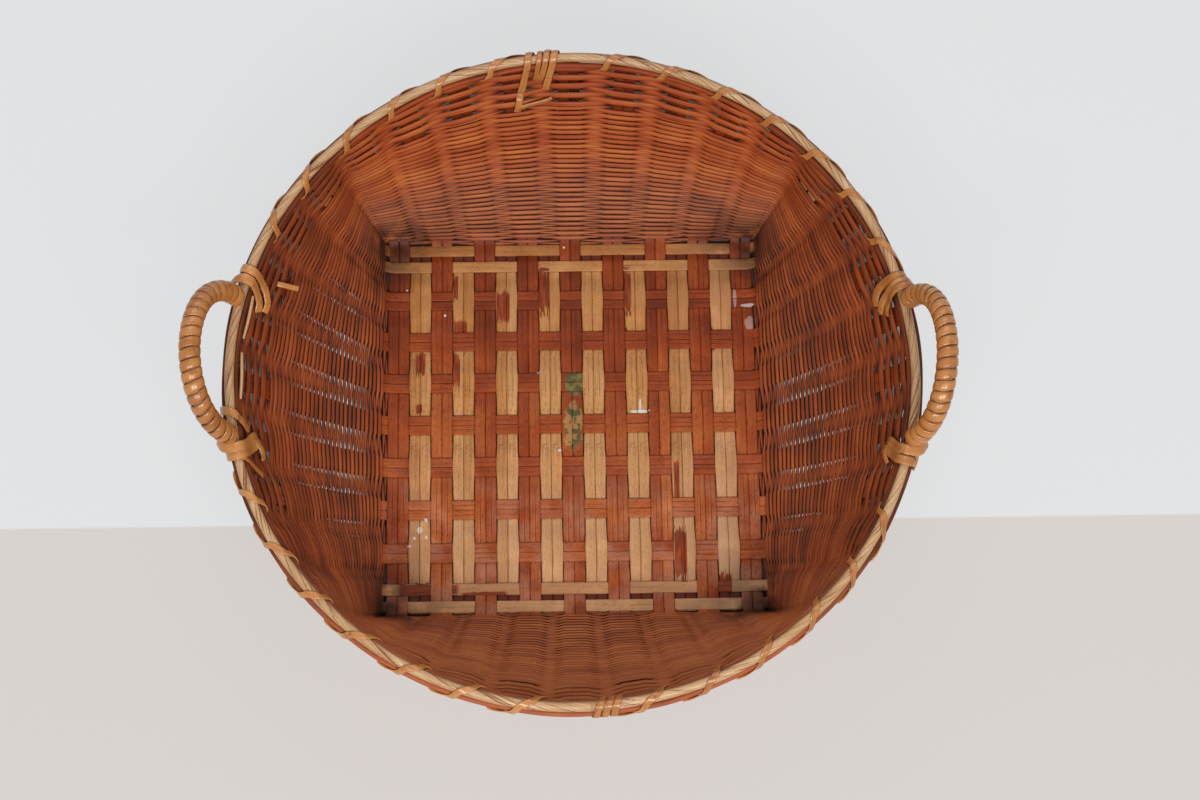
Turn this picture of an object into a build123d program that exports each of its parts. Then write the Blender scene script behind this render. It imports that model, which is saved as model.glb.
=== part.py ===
"""Round-mouthed, square-based wicker basket with two lashed bail handles.

Nine dark pairs of flat strips run front to back and nine pairs run side to side. Both sets
cross in the base and turn up as the 36 paired stakes of the wall. Eight light pairs fill the
base between the dark ones. Fine rods are woven round the stakes, then nine coarse rods, and
the wall ends in two hoops with a rod on top, bound together with cane.

Units are millimetres. +Z is up, +X is the right handle, +Y is the far side. The origin is the
middle of the base, on the surface that the basket stands on.
"""
import os
from math import atan2, cos, degrees, hypot, pi, radians, sin, sqrt

from build123d import *

# ---- base strips ---------------------------------------------------------------------------
strip_width = 7.1            # one strip of a front-to-back pair
strip_thickness = 1.2
pair_gap = 0.2               # between the two strips of a pair
column_gap = 0.33            # between one front-to-back pair and the next
layer_play = 0.1             # between strips that cross
dark_pairs = 9               # front to back, with one light pair between each two
cross_strip_width = 6.5      # one strip of a side-to-side pair
cross_pairs = 7              # side to side, without the border strips
cross_pitch = 29.85          # from one side-to-side pair to the next
border_strip_width = 8.0     # the two single light strips along each end of the base
inner_border_y = 114.5
outer_border_y = 126.5
ramp_margin = 0.6            # flat length of a strip beyond the one it crosses

# ---- wall ----------------------------------------------------------------------------------
wall_top_radius = 218.3      # middle of the stakes at their upper ends
wall_top_z = 112.8
belly = 0.26                 # how much more the wall leans out low down than near the rim
level_shares = (0.0, 0.5, 1.0)   # heights at which the wall's shape is worked out
edge_play = 0.3              # beside a stake
face_play = 0.2              # on the inner and outer face of a stake
fine_rod = 1.8               # thickness of the finely woven rods
coarse_rod = 2.9             # thickness of a coarse rod, in and out
coarse_height = 2.7          # height of a coarse rod
coarse_pitch = 3.0
coarse_rows = 9
row_play = 0.3               # between rods that lie on each other

# ---- rim -----------------------------------------------------------------------------------
rim_rod_radius = 3.2
hoop_radius = 1.9            # the hoops inside and outside of the stakes' ends
hoop_play = 0.1
rod_flat_count = 10          # flats that stand for the round of a rod or hoop
cane_thickness = 1.0
cane_width = 4.2
cane_play = 0.15
stitch_flat_count = 6        # flats of the polygon that a stitch is bent to
far_binding_turns = 4
near_binding_turns = 3
binding_gap = 0.4            # between two turns of a binding

# ---- handles -------------------------------------------------------------------------------
foot_angle = 12.3            # of each foot, from the middle of the handle, round the rim
handle_turn = -1.0           # of both handles round the basket, from its side-to-side line
left_handle_lean = 27.5      # outwards from upright
right_handle_lean = 21.0
handle_rise = 52.0           # from the rim rod's middle to the middle of the bail's crown
leg_length = 9.0             # straight stretch above the rim rod's middle
shoulder_angle = 60.0        # turned by each of the two tighter arcs of the bail
core_radius = 5.2
wrap_thickness = 1.2
wrap_turns = 23
wrap_groove = 0.45           # depth between two turns
wrap_flat_count = 8          # flats of the wrap and of a collar
collar_width = 5.0
lashing_width = 4.6
lashing_loops = 2

# ---- worked out from the sizes above -------------------------------------------------------
column_pitch = 2 * strip_width + pair_gap + column_gap
dark_pitch = 2 * column_pitch
half_columns = (dark_pairs - 1) // 2
half_rows = (cross_pairs - 1) // 2 + 1          # the border pair counts as the last row
stakes = 2 * dark_pairs + 2 * (cross_pairs + 2)
stake_step = 360 / stakes
layer_step = strip_thickness + layer_play
mid_z = layer_step                              # underside of the side-to-side strips
wall_z = 3 * strip_thickness + 4 * layer_play   # where the wall starts
base_edge_x = half_columns * dark_pitch + strip_width + pair_gap / 2
base_edge_y = outer_border_y + border_strip_width / 2
skin_depth = strip_thickness / 2 + face_play + fine_rod
foot_lean = (wall_top_radius - base_edge_x) / (wall_top_z - wall_z) * (1 + belly)
foot_slope = hypot(1, foot_lean)                # horizontal share of a thickness low on the wall
wall_foot_x = base_edge_x + edge_play + foot_slope * skin_depth
wall_foot_y = base_edge_y + edge_play + foot_slope * skin_depth
border_foot_y = (inner_border_y + outer_border_y) / 2

# rim stack, from the tops of the stakes
rim_lean = (wall_top_radius - wall_foot_x) / (wall_top_z - wall_z) * (1 - belly)
rim_slant = hypot(1, rim_lean)
saddle = rim_rod_radius + hoop_radius + hoop_play
hoop_offset = rim_slant * (strip_thickness / 2 + face_play + hoop_radius) + edge_play
rod_above_hoops = sqrt(saddle ** 2 - hoop_offset ** 2)
rod_z = wall_top_z + rim_rod_radius + cane_play
hoop_z = rod_z - rod_above_hoops
rod_ring_radius = wall_top_radius - rim_lean * (wall_top_z - hoop_z)
inner_hoop_ring = rod_ring_radius - hoop_offset
outer_hoop_ring = rod_ring_radius + hoop_offset
coarse_top_z = hoop_z - hoop_radius - 2 * cane_play - cane_thickness
coarse_bottom_z = coarse_top_z - (coarse_rows - 1) * coarse_pitch - coarse_height
fine_top_z = coarse_bottom_z - row_play
rim_bundle = (
    (rod_ring_radius, rod_z, rim_rod_radius),
    (inner_hoop_ring, hoop_z, hoop_radius),
    (outer_hoop_ring, hoop_z, hoop_radius),
)


def lerp(a, b, share):
    """Point or number at a share of the way from a to b."""
    return a + (b - a) * share


def ruled(sections):
    """Solid with straight edges from each flat section to the next."""
    wires = [Wire.make_polygon([Vector(*p) for p in section], close=True) for section in sections]
    return Solid.make_loft(wires, ruled=True)


# ---- the wall's surface --------------------------------------------------------------------
def stake_foot(index):
    """Foot of a stake on the base outline, and its direction round the wall.

    Stake 0 is the middle one on the right (+X), and they count anticlockwise from above. The
    left and near walls are the right and far ones turned half round.
    """
    half_turn, place = divmod((index + half_rows) % stakes, stakes // 2)
    sign = -1 if half_turn else 1
    row = place - half_rows
    if row <= half_rows:
        return (sign * wall_foot_x, sign * row_y(row)), (0, sign)
    column = stakes // 4 - row
    return (sign * column * dark_pitch, sign * wall_foot_y), (-sign, 0)


def stake_half_widths(index):
    """Half a stake's width at its foot and at the rim. Only the border strips draw together."""
    row = (index + half_rows) % (stakes // 2) - half_rows
    if abs(row) == half_rows:
        spread = (outer_border_y - inner_border_y + border_strip_width) / 2
        return spread, border_strip_width + pair_gap / 2
    half = pair_gap / 2 + (cross_strip_width if abs(row) < half_rows else strip_width)
    return half, half


def row_y(row):
    """Middle of a side-to-side pair. The last one each way is the two border strips."""
    if abs(row) < half_rows:
        return row * cross_pitch
    return border_foot_y if row > 0 else -border_foot_y


def level_point(index, side_low, side_high, share, depth):
    """Point of the wall by a stake, at a share of the wall's height.

    side_low and side_high are the distances from the stake's middle, anticlockwise, at the foot
    and at the top. depth is measured outwards from the middle of the stake's thickness.
    """
    (foot_x, foot_y), (turn_x, turn_y) = stake_foot(index)
    angle = radians(index * stake_step)
    top_x, top_y = wall_top_radius * cos(angle), wall_top_radius * sin(angle)
    out = share * (1 + belly * (1 - share))
    along_x, along_y = lerp(turn_x, -sin(angle), out), lerp(turn_y, cos(angle), out)
    length = hypot(along_x, along_y)
    along_x, along_y = along_x / length, along_y / length
    lean = ((top_x - foot_x) * along_y - (top_y - foot_y) * along_x)
    lean *= (1 + belly * (1 - 2 * share)) / (wall_top_z - wall_z)
    push = depth * hypot(1, lean)
    side = lerp(side_low, side_high, share)
    x = lerp(foot_x, top_x, out) + side * along_x + push * along_y
    y = lerp(foot_y, top_y, out) + side * along_y - push * along_x
    return Vector(x, y, lerp(wall_z, wall_top_z, share))


def wall_point(index, side_low, side_high, z, depth):
    """The same point at any height: straight between the levels, as the solids are."""
    share = (z - wall_z) / (wall_top_z - wall_z)
    low, high = [pair for pair in zip(level_shares, level_shares[1:]) if pair[0] <= share][-1]
    below = level_point(index, side_low, side_high, low, depth)
    above = level_point(index, side_low, side_high, high, depth)
    return lerp(below, above, (share - low) / (high - low))


def levels_between(low_z, high_z):
    """Heights of the sections of a solid that reaches from low_z to high_z."""
    inner = [lerp(wall_z, wall_top_z, share) for share in level_shares]
    return [low_z] + [z for z in inner if low_z < z < high_z] + [high_z]


def stake_sections(index, low_a, low_b, high_a, high_b):
    """Level sections of one strip of a stake, whose sides are a and b, from foot to top."""
    half = strip_thickness / 2
    return [
        [
            wall_point(index, low_a, high_a, z, half),
            wall_point(index, low_b, high_b, z, half),
            wall_point(index, low_b, high_b, z, -half),
            wall_point(index, low_a, high_a, z, -half),
        ]
        for z in levels_between(wall_z, wall_top_z)
    ]


# ---- base strips and stakes ----------------------------------------------------------------
def strip_sides(width, which):
    """Near and far side of strip 0 or 1 of a pair, from the pair's middle."""
    start = pair_gap / 2 if which else -pair_gap / 2 - width
    return start, start + width


def crossings(column):
    """Places where a front-to-back strip crosses others: middle, half width, and over or under.

    A dark pair passes over every second side-to-side pair, and the light pairs over the rest.
    Dark pairs take turns at the border strips. Light pairs end under both border strips.
    """
    dark = column % 2 == 0
    places = []
    for row in range(1 - half_rows, half_rows):
        over = (row + half_rows) % 2 == (0 if dark else 1)
        places.append((row * cross_pitch, cross_strip_width + pair_gap / 2, over))
    inner_over = dark and column % 4 == 2 * ((half_columns + 1) % 2)
    outer_over = dark and not inner_over
    for side in (-1, 1):
        places.append((side * inner_border_y, border_strip_width / 2, inner_over))
        places.append((side * outer_border_y, border_strip_width / 2, outer_over))
    return sorted(places)


def column_line(column):
    """The underside of a front-to-back strip as (y, z) points, up over and down under."""
    points = []
    for middle, half, over in crossings(column):
        z = 2 * layer_step if over else 0
        reach = half + ramp_margin
        if points and points[-1][1] == z:
            points.pop()
        else:
            points.append((middle - reach, z))
        points.append((middle + reach, z))
    end = base_edge_y + edge_play
    return [(-end, points[0][1])] + points[1:-1] + [(end, points[-1][1])]


def column_sections(x_low, x_high, line):
    """Upright sections of a front-to-back strip along its line in the base."""
    top = strip_thickness
    return [
        [Vector(x_low, y, z), Vector(x_high, y, z), Vector(x_high, y, z + top), Vector(x_low, y, z + top)]
        for y, z in line
    ]


def dark_stake_strip(place, which):
    """One dark strip: down the near wall, through the base, and up the far wall."""
    low, high = strip_sides(strip_width, which)
    middle = place * dark_pitch
    near = stake_sections(3 * stakes // 4 + place, low, high, low, high)
    base = column_sections(middle + low, middle + high, column_line(2 * place))
    far = stake_sections(stakes // 4 - place, -low, -high, -low, -high)
    return turned_up(near, base, far)


def turned_up(one_wall, base, other_wall):
    """Strip that comes down one wall, runs through the base and turns up the other wall.

    Each elbow has a slanting section half way between the base's end and the wall's foot.
    """
    elbows = [
        [lerp(here, there, 0.5) for here, there in zip(base_end, wall[0])]
        for base_end, wall in ((base[0], one_wall), (base[-1], other_wall))
    ]
    return ruled(one_wall[::-1] + [elbows[0]] + base + [elbows[1]] + other_wall)


def light_strip(place, which):
    """One light strip of the base. Its ends lie under the border strips."""
    low, high = strip_sides(strip_width, which)
    middle = (place + 0.5) * dark_pitch
    line = column_line(2 * place + 1)
    outline = [(y, z) for y, z in line] + [(y, z + strip_thickness) for y, z in line[::-1]]
    face = Plane.YZ.offset(middle + low) * Polygon(*outline, align=None)
    return extrude(face, amount=high - low)


def cross_strip(row, base_low, base_high, top_low, top_high):
    """One side-to-side strip: down the left wall, straight through the base, up the right wall.

    base_low to top_high are its sides, from the middle of its pair, in the base and at the rim.
    """
    middle = row_y(row)
    end = base_edge_x + edge_play
    top_z = mid_z + strip_thickness
    base = [
        [
            Vector(x, middle + base_low, mid_z),
            Vector(x, middle + base_high, mid_z),
            Vector(x, middle + base_high, top_z),
            Vector(x, middle + base_low, top_z),
        ]
        for x in (-end, end)
    ]
    left = stake_sections(stakes // 2 - row, -base_low, -base_high, -top_low, -top_high)
    right = stake_sections(row % stakes, base_low, base_high, top_low, top_high)
    return turned_up(left, base, right)


def border_strip(side, outer):
    """One light border strip. Its ends turn up as half of the last stake at each corner."""
    middle = outer_border_y if outer else inner_border_y
    near = middle - border_strip_width / 2 - border_foot_y
    far = near + border_strip_width
    gap = pair_gap / 2
    top_near, top_far = (gap, gap + border_strip_width) if outer else (-gap - border_strip_width, -gap)
    if side > 0:
        return cross_strip(half_rows, near, far, top_near, top_far)
    return cross_strip(-half_rows, -far, -near, -top_far, -top_near)


# ---- woven wall ----------------------------------------------------------------------------
def ring_outline(z, depth_of):
    """Closed outline round the wall at height z, with two points beside each stake."""
    outline = []
    for index in range(stakes):
        half_foot, half_top = stake_half_widths(index)
        for side in (-1, 1):
            low, high = side * (half_foot + edge_play), side * (half_top + edge_play)
            outline.append(wall_point(index, low, high, z, depth_of(index)))
    return outline


def wall_ring(low_z, high_z, inner_depth, outer_depth):
    """Closed ring of wall between two heights and two depths, which may differ by stake."""
    heights = levels_between(low_z, high_z)
    outside = ruled([ring_outline(z, outer_depth) for z in heights])
    inside = ruled([ring_outline(z, inner_depth) for z in heights])
    return outside - inside


def fine_weave(side):
    """The fine rods on the inner (-1) or outer (1) face of the stakes, as one woven skin."""
    near = side * (strip_thickness / 2 + face_play)
    far = side * skin_depth
    low, high = sorted((near, far))
    return wall_ring(wall_z, fine_top_z, lambda index: low, lambda index: high)


def coarse_weaver(row):
    """One coarse rod, which passes outside one stake and inside the next, all round."""
    low_z = coarse_bottom_z + row * coarse_pitch
    middle = strip_thickness / 2 + face_play + coarse_rod / 2

    def depth(index, shift):
        outside = (index + row) % 2 == 0
        return (middle if outside else -middle) + shift

    return wall_ring(
        low_z,
        low_z + coarse_height,
        lambda index: depth(index, -coarse_rod / 2),
        lambda index: depth(index, coarse_rod / 2),
    )


# ---- rim ------------------------------------------------------------------------------------
def bent_round(ring_radius, z, rod_radius):
    """A rod or hoop bent to a full circle round the basket's axis."""
    section = Plane.XZ * Pos(ring_radius, z) * RegularPolygon(rod_radius, rod_flat_count)
    return revolve(section, Axis.Z)


def tight_outline(circles, clearance, flats):
    """Polygon with the given number of equal-angled flats, drawn tight round a bundle of circles.

    Each flat lies at the bundle's reach in its direction, plus the clearance.
    """
    turns = [2 * pi * (flat + 0.5) / flats for flat in range(flats)]
    reach = [max(x * cos(t) + y * sin(t) + r for x, y, r in circles) + clearance for t in turns]
    corners = []
    for flat in range(flats):
        t0, t1 = turns[flat - 1], turns[flat]
        h0, h1 = reach[flat - 1], reach[flat]
        span = sin(t1 - t0)
        corners.append(((h0 * sin(t1) - h1 * sin(t0)) / span, (h1 * cos(t0) - h0 * cos(t1)) / span))
    return corners


def band(plane, circles, width, flats):
    """Flat cane bent round a bundle of circles in a plane, as wide as said, half each way."""
    outer = Polygon(*tight_outline(circles, cane_play + cane_thickness, flats), align=None)
    inner = Polygon(*tight_outline(circles, cane_play, flats), align=None)
    return extrude(plane * (outer - inner), amount=width / 2, both=True)


def rim_band(angle, width):
    """One turn of cane round the rim rod and both hoops, at an angle round the rim."""
    outward = Vector(cos(radians(angle)), sin(radians(angle)), 0)
    plane = Plane(origin=(0, 0, 0), x_dir=outward, z_dir=outward.cross(Vector(0, 0, 1)))
    return band(plane, rim_bundle, width, stitch_flat_count)


def rim_binding(angle, turns):
    """Turns of cane side by side, centred on an angle round the rim."""
    step = degrees((cane_width + binding_gap) / inner_hoop_ring)
    return [rim_band(angle + (turn - (turns - 1) / 2) * step, cane_width) for turn in range(turns)]


def gap_angle(gap):
    """Middle of the gap that follows a stake."""
    return (gap + 0.5) * stake_step


# ---- handles -------------------------------------------------------------------------------
def handle_lean(side):
    """Lean of the bail on one side: -1 is the left and 1 the right."""
    return right_handle_lean if side > 0 else left_handle_lean


def handle_plane(side):
    """Plane of a bail: x runs along the rim, y up the lean from the rim rod's middle."""
    lean, turn = radians(handle_lean(side)), radians(handle_turn)
    out_x, out_y = side * cos(turn), side * sin(turn)
    reach = rod_ring_radius * cos(radians(foot_angle))
    return Plane(
        origin=(out_x * reach, out_y * reach, rod_z),
        x_dir=(-out_y, out_x, 0),
        z_dir=(out_x * cos(lean), out_y * cos(lean), -sin(lean)),
    )


def handle_path(side, start):
    """Middle line of a bail: two legs and a three-centred arch. start is the feet's height."""
    half_span = rod_ring_radius * sin(radians(foot_angle))
    turn = radians(shoulder_angle)
    spread = (1 - sin(turn)) / cos(turn)
    arch = handle_rise - leg_length
    small = (arch - half_span * spread) / (1 - spread)
    large = small + (half_span - small) / cos(turn)
    inset = half_span - small
    crown = 180 - 2 * shoulder_angle
    edges = [
        Line((-half_span, start), (-half_span, leg_length)),
        CenterArc((-inset, leg_length), small, 180, -shoulder_angle),
        CenterArc((0, handle_rise - large), large, 180 - shoulder_angle, -crown),
        CenterArc((inset, leg_length), small, shoulder_angle, -shoulder_angle),
        Line((half_span, leg_length), (half_span, start)),
    ]
    return handle_plane(side) * Wire(edges)


steepest_lean = max(left_handle_lean, right_handle_lean)
foot_skew = core_radius * sin(radians(foot_angle)) * sin(radians(steepest_lean))
foot_height = rim_rod_radius + 2 * cane_play + foot_skew
wrap_start = foot_height + collar_width + 2 * cane_play


def handle_core(side):
    """The rod inside a bail, from the top of the rim rod at one foot to the other."""
    path = handle_path(side, foot_height)
    profile = Plane(origin=path @ 0, z_dir=path % 0) * RegularPolygon(core_radius, rod_flat_count)
    return sweep(profile, path=path)


def handle_wrap(side):
    """Flat cane wound round the core: a sleeve with a rounded ridge for each turn."""
    path = handle_path(side, wrap_start)
    across = handle_plane(side).z_dir
    corner = 1 / cos(pi / wrap_flat_count)
    crest = (core_radius + cane_play + wrap_thickness) * corner
    bore = (core_radius + cane_play) * corner

    def section(share, radius):
        middle, ahead = path @ share, path % share
        beside = ahead.cross(across)
        turns = [2 * pi * (flat + 0.5) / wrap_flat_count for flat in range(wrap_flat_count)]
        return [middle + across * (radius * cos(t)) + beside * (radius * sin(t)) for t in turns]

    steps = 2 * wrap_turns
    outside = [section(i / steps, crest if i % 2 else crest - wrap_groove) for i in range(steps + 1)]
    inside = [section(i / steps, bore) for i in range(steps + 1)]
    return ruled(outside) - ruled(inside)


def foot_lashing(side, end):
    """Cane at one foot: a collar round the core, and loops round the rim beside it."""
    plane = handle_plane(side)
    half_span = rod_ring_radius * sin(radians(foot_angle))
    foot = plane.from_local_coords((side * end * half_span, foot_height + cane_play + collar_width / 2, 0))
    collar_plane = Plane(origin=foot, x_dir=plane.x_dir, z_dir=plane.y_dir)
    collar = band(collar_plane, ((0, 0, core_radius),), collar_width, wrap_flat_count)
    first = degrees((core_radius + cane_play + lashing_width / 2) / inner_hoop_ring)
    step = degrees((lashing_width + binding_gap) / inner_hoop_ring)
    middle = degrees(atan2(0, side)) + handle_turn
    loops = [
        rim_band(middle + side * end * (foot_angle + first + loop * step), lashing_width)
        for loop in range(lashing_loops)
    ]
    return [collar] + loops


# ---- nodes ---------------------------------------------------------------------------------
def nodes():
    """Every node's name with its solids."""
    parts = {}
    for place in range(-half_columns, half_columns + 1):
        name = f"dark_stake_pair_{place + half_columns + 1}"
        parts[name] = [dark_stake_strip(place, which) for which in (0, 1)]
    for place in range(-half_columns, half_columns):
        name = f"light_base_pair_{place + half_columns + 1}"
        parts[name] = [light_strip(place, which) for which in (0, 1)]
    for row in range(1 - half_rows, half_rows):
        sides = [strip_sides(cross_strip_width, which) for which in (0, 1)]
        name = f"cross_stake_pair_{row + half_rows}"
        parts[name] = [cross_strip(row, low, high, low, high) for low, high in sides]
    for end, side in (("near", -1), ("far", 1)):
        parts[f"{end}_inner_border_strip"] = [border_strip(side, False)]
        parts[f"{end}_outer_border_strip"] = [border_strip(side, True)]
    parts["fine_weave_inside"] = [fine_weave(-1)]
    parts["fine_weave_outside"] = [fine_weave(1)]
    for row in range(coarse_rows):
        parts[f"coarse_weaver_{row + 1}"] = [coarse_weaver(row)]
    rim_names = ("rim_rod", "rim_inner_hoop", "rim_outer_hoop")
    parts.update((name, [bent_round(*circle)]) for name, circle in zip(rim_names, rim_bundle))
    quarter, half = stakes // 4, stakes // 2
    far_gap, near_gap = quarter, -quarter
    single = [gap for gap in range(2, half - 2) if gap != far_gap]
    single += [gap for gap in range(2 - half, -2) if gap != near_gap]
    parts["rim_stitches"] = [rim_band(gap_angle(gap), cane_width) for gap in single]
    parts["far_rim_binding"] = rim_binding(gap_angle(far_gap), far_binding_turns)
    parts["near_rim_binding"] = rim_binding(gap_angle(near_gap), near_binding_turns)
    for name, side in (("left", -1), ("right", 1)):
        parts[f"{name}_handle_core"] = [handle_core(side)]
        parts[f"{name}_handle_wrap"] = [handle_wrap(side)]
        for end_name, end in (("near", -1), ("far", 1)):
            parts[f"{name}_handle_{end_name}_lashing"] = foot_lashing(side, end)
    return parts


if __name__ == "__main__":
    os.makedirs("parts", exist_ok=True)
    for name, solids in nodes().items():
        shape = solids[0] if len(solids) == 1 else Compound(children=solids)
        export_step(shape, f"parts/{name}.step")
        print(name, len(solids))
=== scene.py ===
"""Two-handled wicker basket: every strip, rod and cane, with its finish, and a plain stage.

Laid out as a Blender add-on and run as a script. All lengths are metres, in the part's own frame:
+Z up, +X the right handle, +Y the far side, and the origin in the middle of the base.
"""

from math import cos, pi, radians, sin, sqrt

import bpy
import numpy as np
from bpy.props import FloatProperty, FloatVectorProperty, IntProperty, PointerProperty
from bpy.types import Operator, Panel, PropertyGroup
from mathutils import Matrix, Vector


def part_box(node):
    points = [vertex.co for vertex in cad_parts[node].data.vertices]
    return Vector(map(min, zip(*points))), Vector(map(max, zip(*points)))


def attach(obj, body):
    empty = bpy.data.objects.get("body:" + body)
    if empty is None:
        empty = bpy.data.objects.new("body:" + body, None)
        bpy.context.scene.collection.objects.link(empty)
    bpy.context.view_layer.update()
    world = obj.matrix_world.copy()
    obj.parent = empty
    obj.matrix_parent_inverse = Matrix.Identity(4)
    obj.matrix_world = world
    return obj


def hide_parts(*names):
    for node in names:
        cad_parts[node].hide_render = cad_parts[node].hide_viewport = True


bl_info = {
    "name": "Wicker Basket",
    "version": (1, 0, 0),
    "blender": (4, 5, 0),
    "location": "View3D > Sidebar > Wicker",
    "description": "Builds a round-mouthed wicker basket on a plaited square base",
    "category": "Add Mesh",
}

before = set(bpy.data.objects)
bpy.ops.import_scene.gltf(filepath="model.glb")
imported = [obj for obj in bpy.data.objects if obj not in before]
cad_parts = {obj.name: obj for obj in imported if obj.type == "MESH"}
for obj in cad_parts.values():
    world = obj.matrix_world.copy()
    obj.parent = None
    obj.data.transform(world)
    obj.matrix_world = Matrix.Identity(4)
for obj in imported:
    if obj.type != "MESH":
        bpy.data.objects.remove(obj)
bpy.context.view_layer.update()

MM = 0.001
STAKES = 36
HALF_ROWS = 4                   # side-to-side places each way from the middle one
HALF_COLUMNS = 8                # front-to-back pairs each way from the middle one, dark and light
STAKE_STEP = 2 * pi / STAKES


# ---- places taken from the frame -----------------------------------------------------------
def ring_of(node):
    """Ring radius, height and rod radius of a round hoop node, from its box."""
    low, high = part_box(node)
    rod = (high.z - low.z) / 2
    return high.x - rod, (high.z + low.z) / 2, rod


RIM_RING, RIM_Z, RIM_ROD = ring_of("rim_rod")
INNER_RING, HOOP_Z, HOOP_ROD = ring_of("rim_inner_hoop")
OUTER_RING = ring_of("rim_outer_hoop")[0]
STAKE_TOP_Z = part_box("dark_stake_pair_5")[1].z
FINE_FOOT_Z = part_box("fine_weave_inside")[0].z
FINE_TOP_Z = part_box("fine_weave_inside")[1].z
COARSE_Z = [sum(corner.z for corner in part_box(f"coarse_weaver_{row}")) / 2 for row in range(1, 10)]


# ---- sizes and colours that a user would change --------------------------------------------
def length(name, description, millimetres):
    """A length property whose default is given in millimetres."""
    return FloatProperty(
        name=name, description=description, default=millimetres * MM, unit="LENGTH", precision=4
    )


def angular(name, description, degrees):
    """An angle property whose default is given in degrees."""
    return FloatProperty(
        name=name, description=description, default=radians(degrees), subtype="ANGLE"
    )


def colour(name, description, hex_code):
    """A colour property whose default is an sRGB hex code."""
    return FloatVectorProperty(
        name=name, description=description, default=linear(hex_code), subtype="COLOR", size=3,
        min=0.0, max=1.0
    )


def linear(hex_code):
    """Linear red, green and blue of an sRGB hex code: the standard curve, undone."""
    values = [int(hex_code[place:place + 2], 16) / 255 for place in (0, 2, 4)]
    return tuple(v / 12.92 if v <= 0.04045 else ((v + 0.055) / 1.055) ** 2.4 for v in values)


class BaseSizes(PropertyGroup):
    """Sizes of the plaited base."""

    strip_width: length("Strip width", "Width of one front-to-back strip", 7.25)
    strip_thickness: length("Strip thickness", "Thickness of every flat strip", 1.2)
    pair_gap: length("Pair gap", "Gap between the two strips of a pair", 0.05)
    column_gap: length("Column gap", "Gap between one pair and the next", 0.18)
    layer_play: length("Layer play", "Gap between strips that cross", 0.1)
    cross_width: length("Cross strip width", "Width of one side-to-side strip", 6.65)
    cross_pitch: length("Cross pitch", "From one side-to-side pair to the next", 29.85)
    border_width: length("Border width", "Width of a single border strip", 8.0)
    inner_border: length("Inner border", "Middle of the inner border strip", 114.5)
    outer_border: length("Outer border", "Middle of the outer border strip", 126.5)
    bow: length("Bow", "How far a strip bows up between two crossings", 0.55)
    barrel: FloatProperty(
        name="Barrel", description="Widening of a light strip between crossings", default=0.06
    )


class WallSizes(PropertyGroup):
    """Sizes of the woven wall."""

    top_radius: length("Top radius", "Middle of the stakes at their upper ends", 218.3)
    belly: FloatProperty(
        name="Belly", description="How much more the wall leans low down", default=0.26
    )
    fine_rows: IntProperty(name="Fine rows", description="Rows of fine rod", default=55)
    fine_width: length("Fine rod width", "Width of a fine rod up the wall", 3.2)
    fine_depth: length("Fine rod depth", "Thickness of a fine rod through the wall", 1.7)
    coarse_width: length("Coarse rod width", "Width of a coarse rod up the wall", 4.6)
    coarse_depth: length("Coarse rod depth", "Thickness of a coarse rod", 2.3)
    waver: length("Waver", "How far a row strays from level", 0.45)


class RimSizes(PropertyGroup):
    """Sizes of the rim's binding."""

    cane_width: length("Cane width", "Width of the stitching cane", 4.5)
    cane_thickness: length("Cane thickness", "Thickness of the stitching cane", 1.0)
    near_turns: IntProperty(name="Near binding", description="Turns of the near binding", default=3)


class HandleSizes(PropertyGroup):
    """Sizes of the two bail handles."""

    foot_angle: angular("Foot angle", "Of a foot, from the handle's middle, round the rim", 12.3)
    turn: angular("Turn", "Of both handles round the basket", -1)
    left_lean: angular("Left lean", "Outwards from upright", 27.5)
    right_lean: angular("Right lean", "Outwards from upright", 21)
    rise: length("Rise", "From the rim rod's middle to the crown's middle", 52)
    leg: length("Leg", "Straight stretch above the rim rod's middle", 9)
    shoulder: angular("Shoulder", "Turned by each tighter arc", 60)
    core: length("Core radius", "Radius of the rod inside", 5.2)
    cane: length("Cane thickness", "Thickness of the winding cane", 1.9)
    turns: IntProperty(name="Turns", description="Turns of cane on each handle", default=23)


class Finish(PropertyGroup):
    """Colours of the stained bamboo, the natural bamboo and the cane."""

    # The darkest colour of stained rods and splits: the dark hoops' dye, and the painted shade on rods'
    # hidden sides and lower edges and on stakes where rods cover them.
    deep_dye_and_shade: colour("Crevice", "Stained rods where they face each other", "1A0A06")
    stain_deep: colour("Deep stain", "Stained splits where the stain is thick", "52200E")
    stain: colour("Stain", "Stained splits and rods", "96401A")
    stain_worn: colour("Worn stain", "Stained splits where they are rubbed", "BA6630")
    straw_deep: colour("Deep straw", "Natural splits in their grain", "8E5228")
    straw: colour("Straw", "Natural splits", "BC8046")
    straw_pale: colour("Pale straw", "Natural splits where they are rubbed", "D6A672")
    peeled_deep: colour("Deep peeled rod", "The rim rod in its grain", "8E6236")
    peeled: colour("Peeled rod", "The rim rod", "B28A60")
    peeled_pale: colour("Pale peeled rod", "The rim rod where it is rubbed", "CDAE8A")
    cane_deep: colour("Deep cane", "Glossy cane where it is oldest", "844A1E")
    cane: colour("Cane", "Glossy cane", "AB6E36")
    cane_pale: colour("Pale cane", "Glossy cane on its crests", "C88C50")
    # The colour that the foot of the wall and its four corners are darkened towards.
    foot_darkening: colour("Grime", "Dirt in the corners", "32180C")


class StageLook(PropertyGroup):
    """Floor, lamps and camera."""

    floor: colour("Floor", "Colour of the floor's far part", "E0E1E2")
    table: colour("Table", "Colour of the floor's near part", "D6D0CC")
    lens: FloatProperty(name="Lens", description="Focal length in millimetres", default=78.0)
    distance: length("Distance", "From the camera to the point it looks at", 1769.6)
    elevation: angular("Elevation", "Of the camera", 71.63)
    azimuth: angular("Azimuth", "Of the camera", -3.31)
    roll: angular("Roll", "Of the camera", 2.47)
    aim_x: length("Aim X", "Point that the camera looks at", 19.0)
    aim_y: length("Aim Y", "Point that the camera looks at", 17.4)


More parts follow.
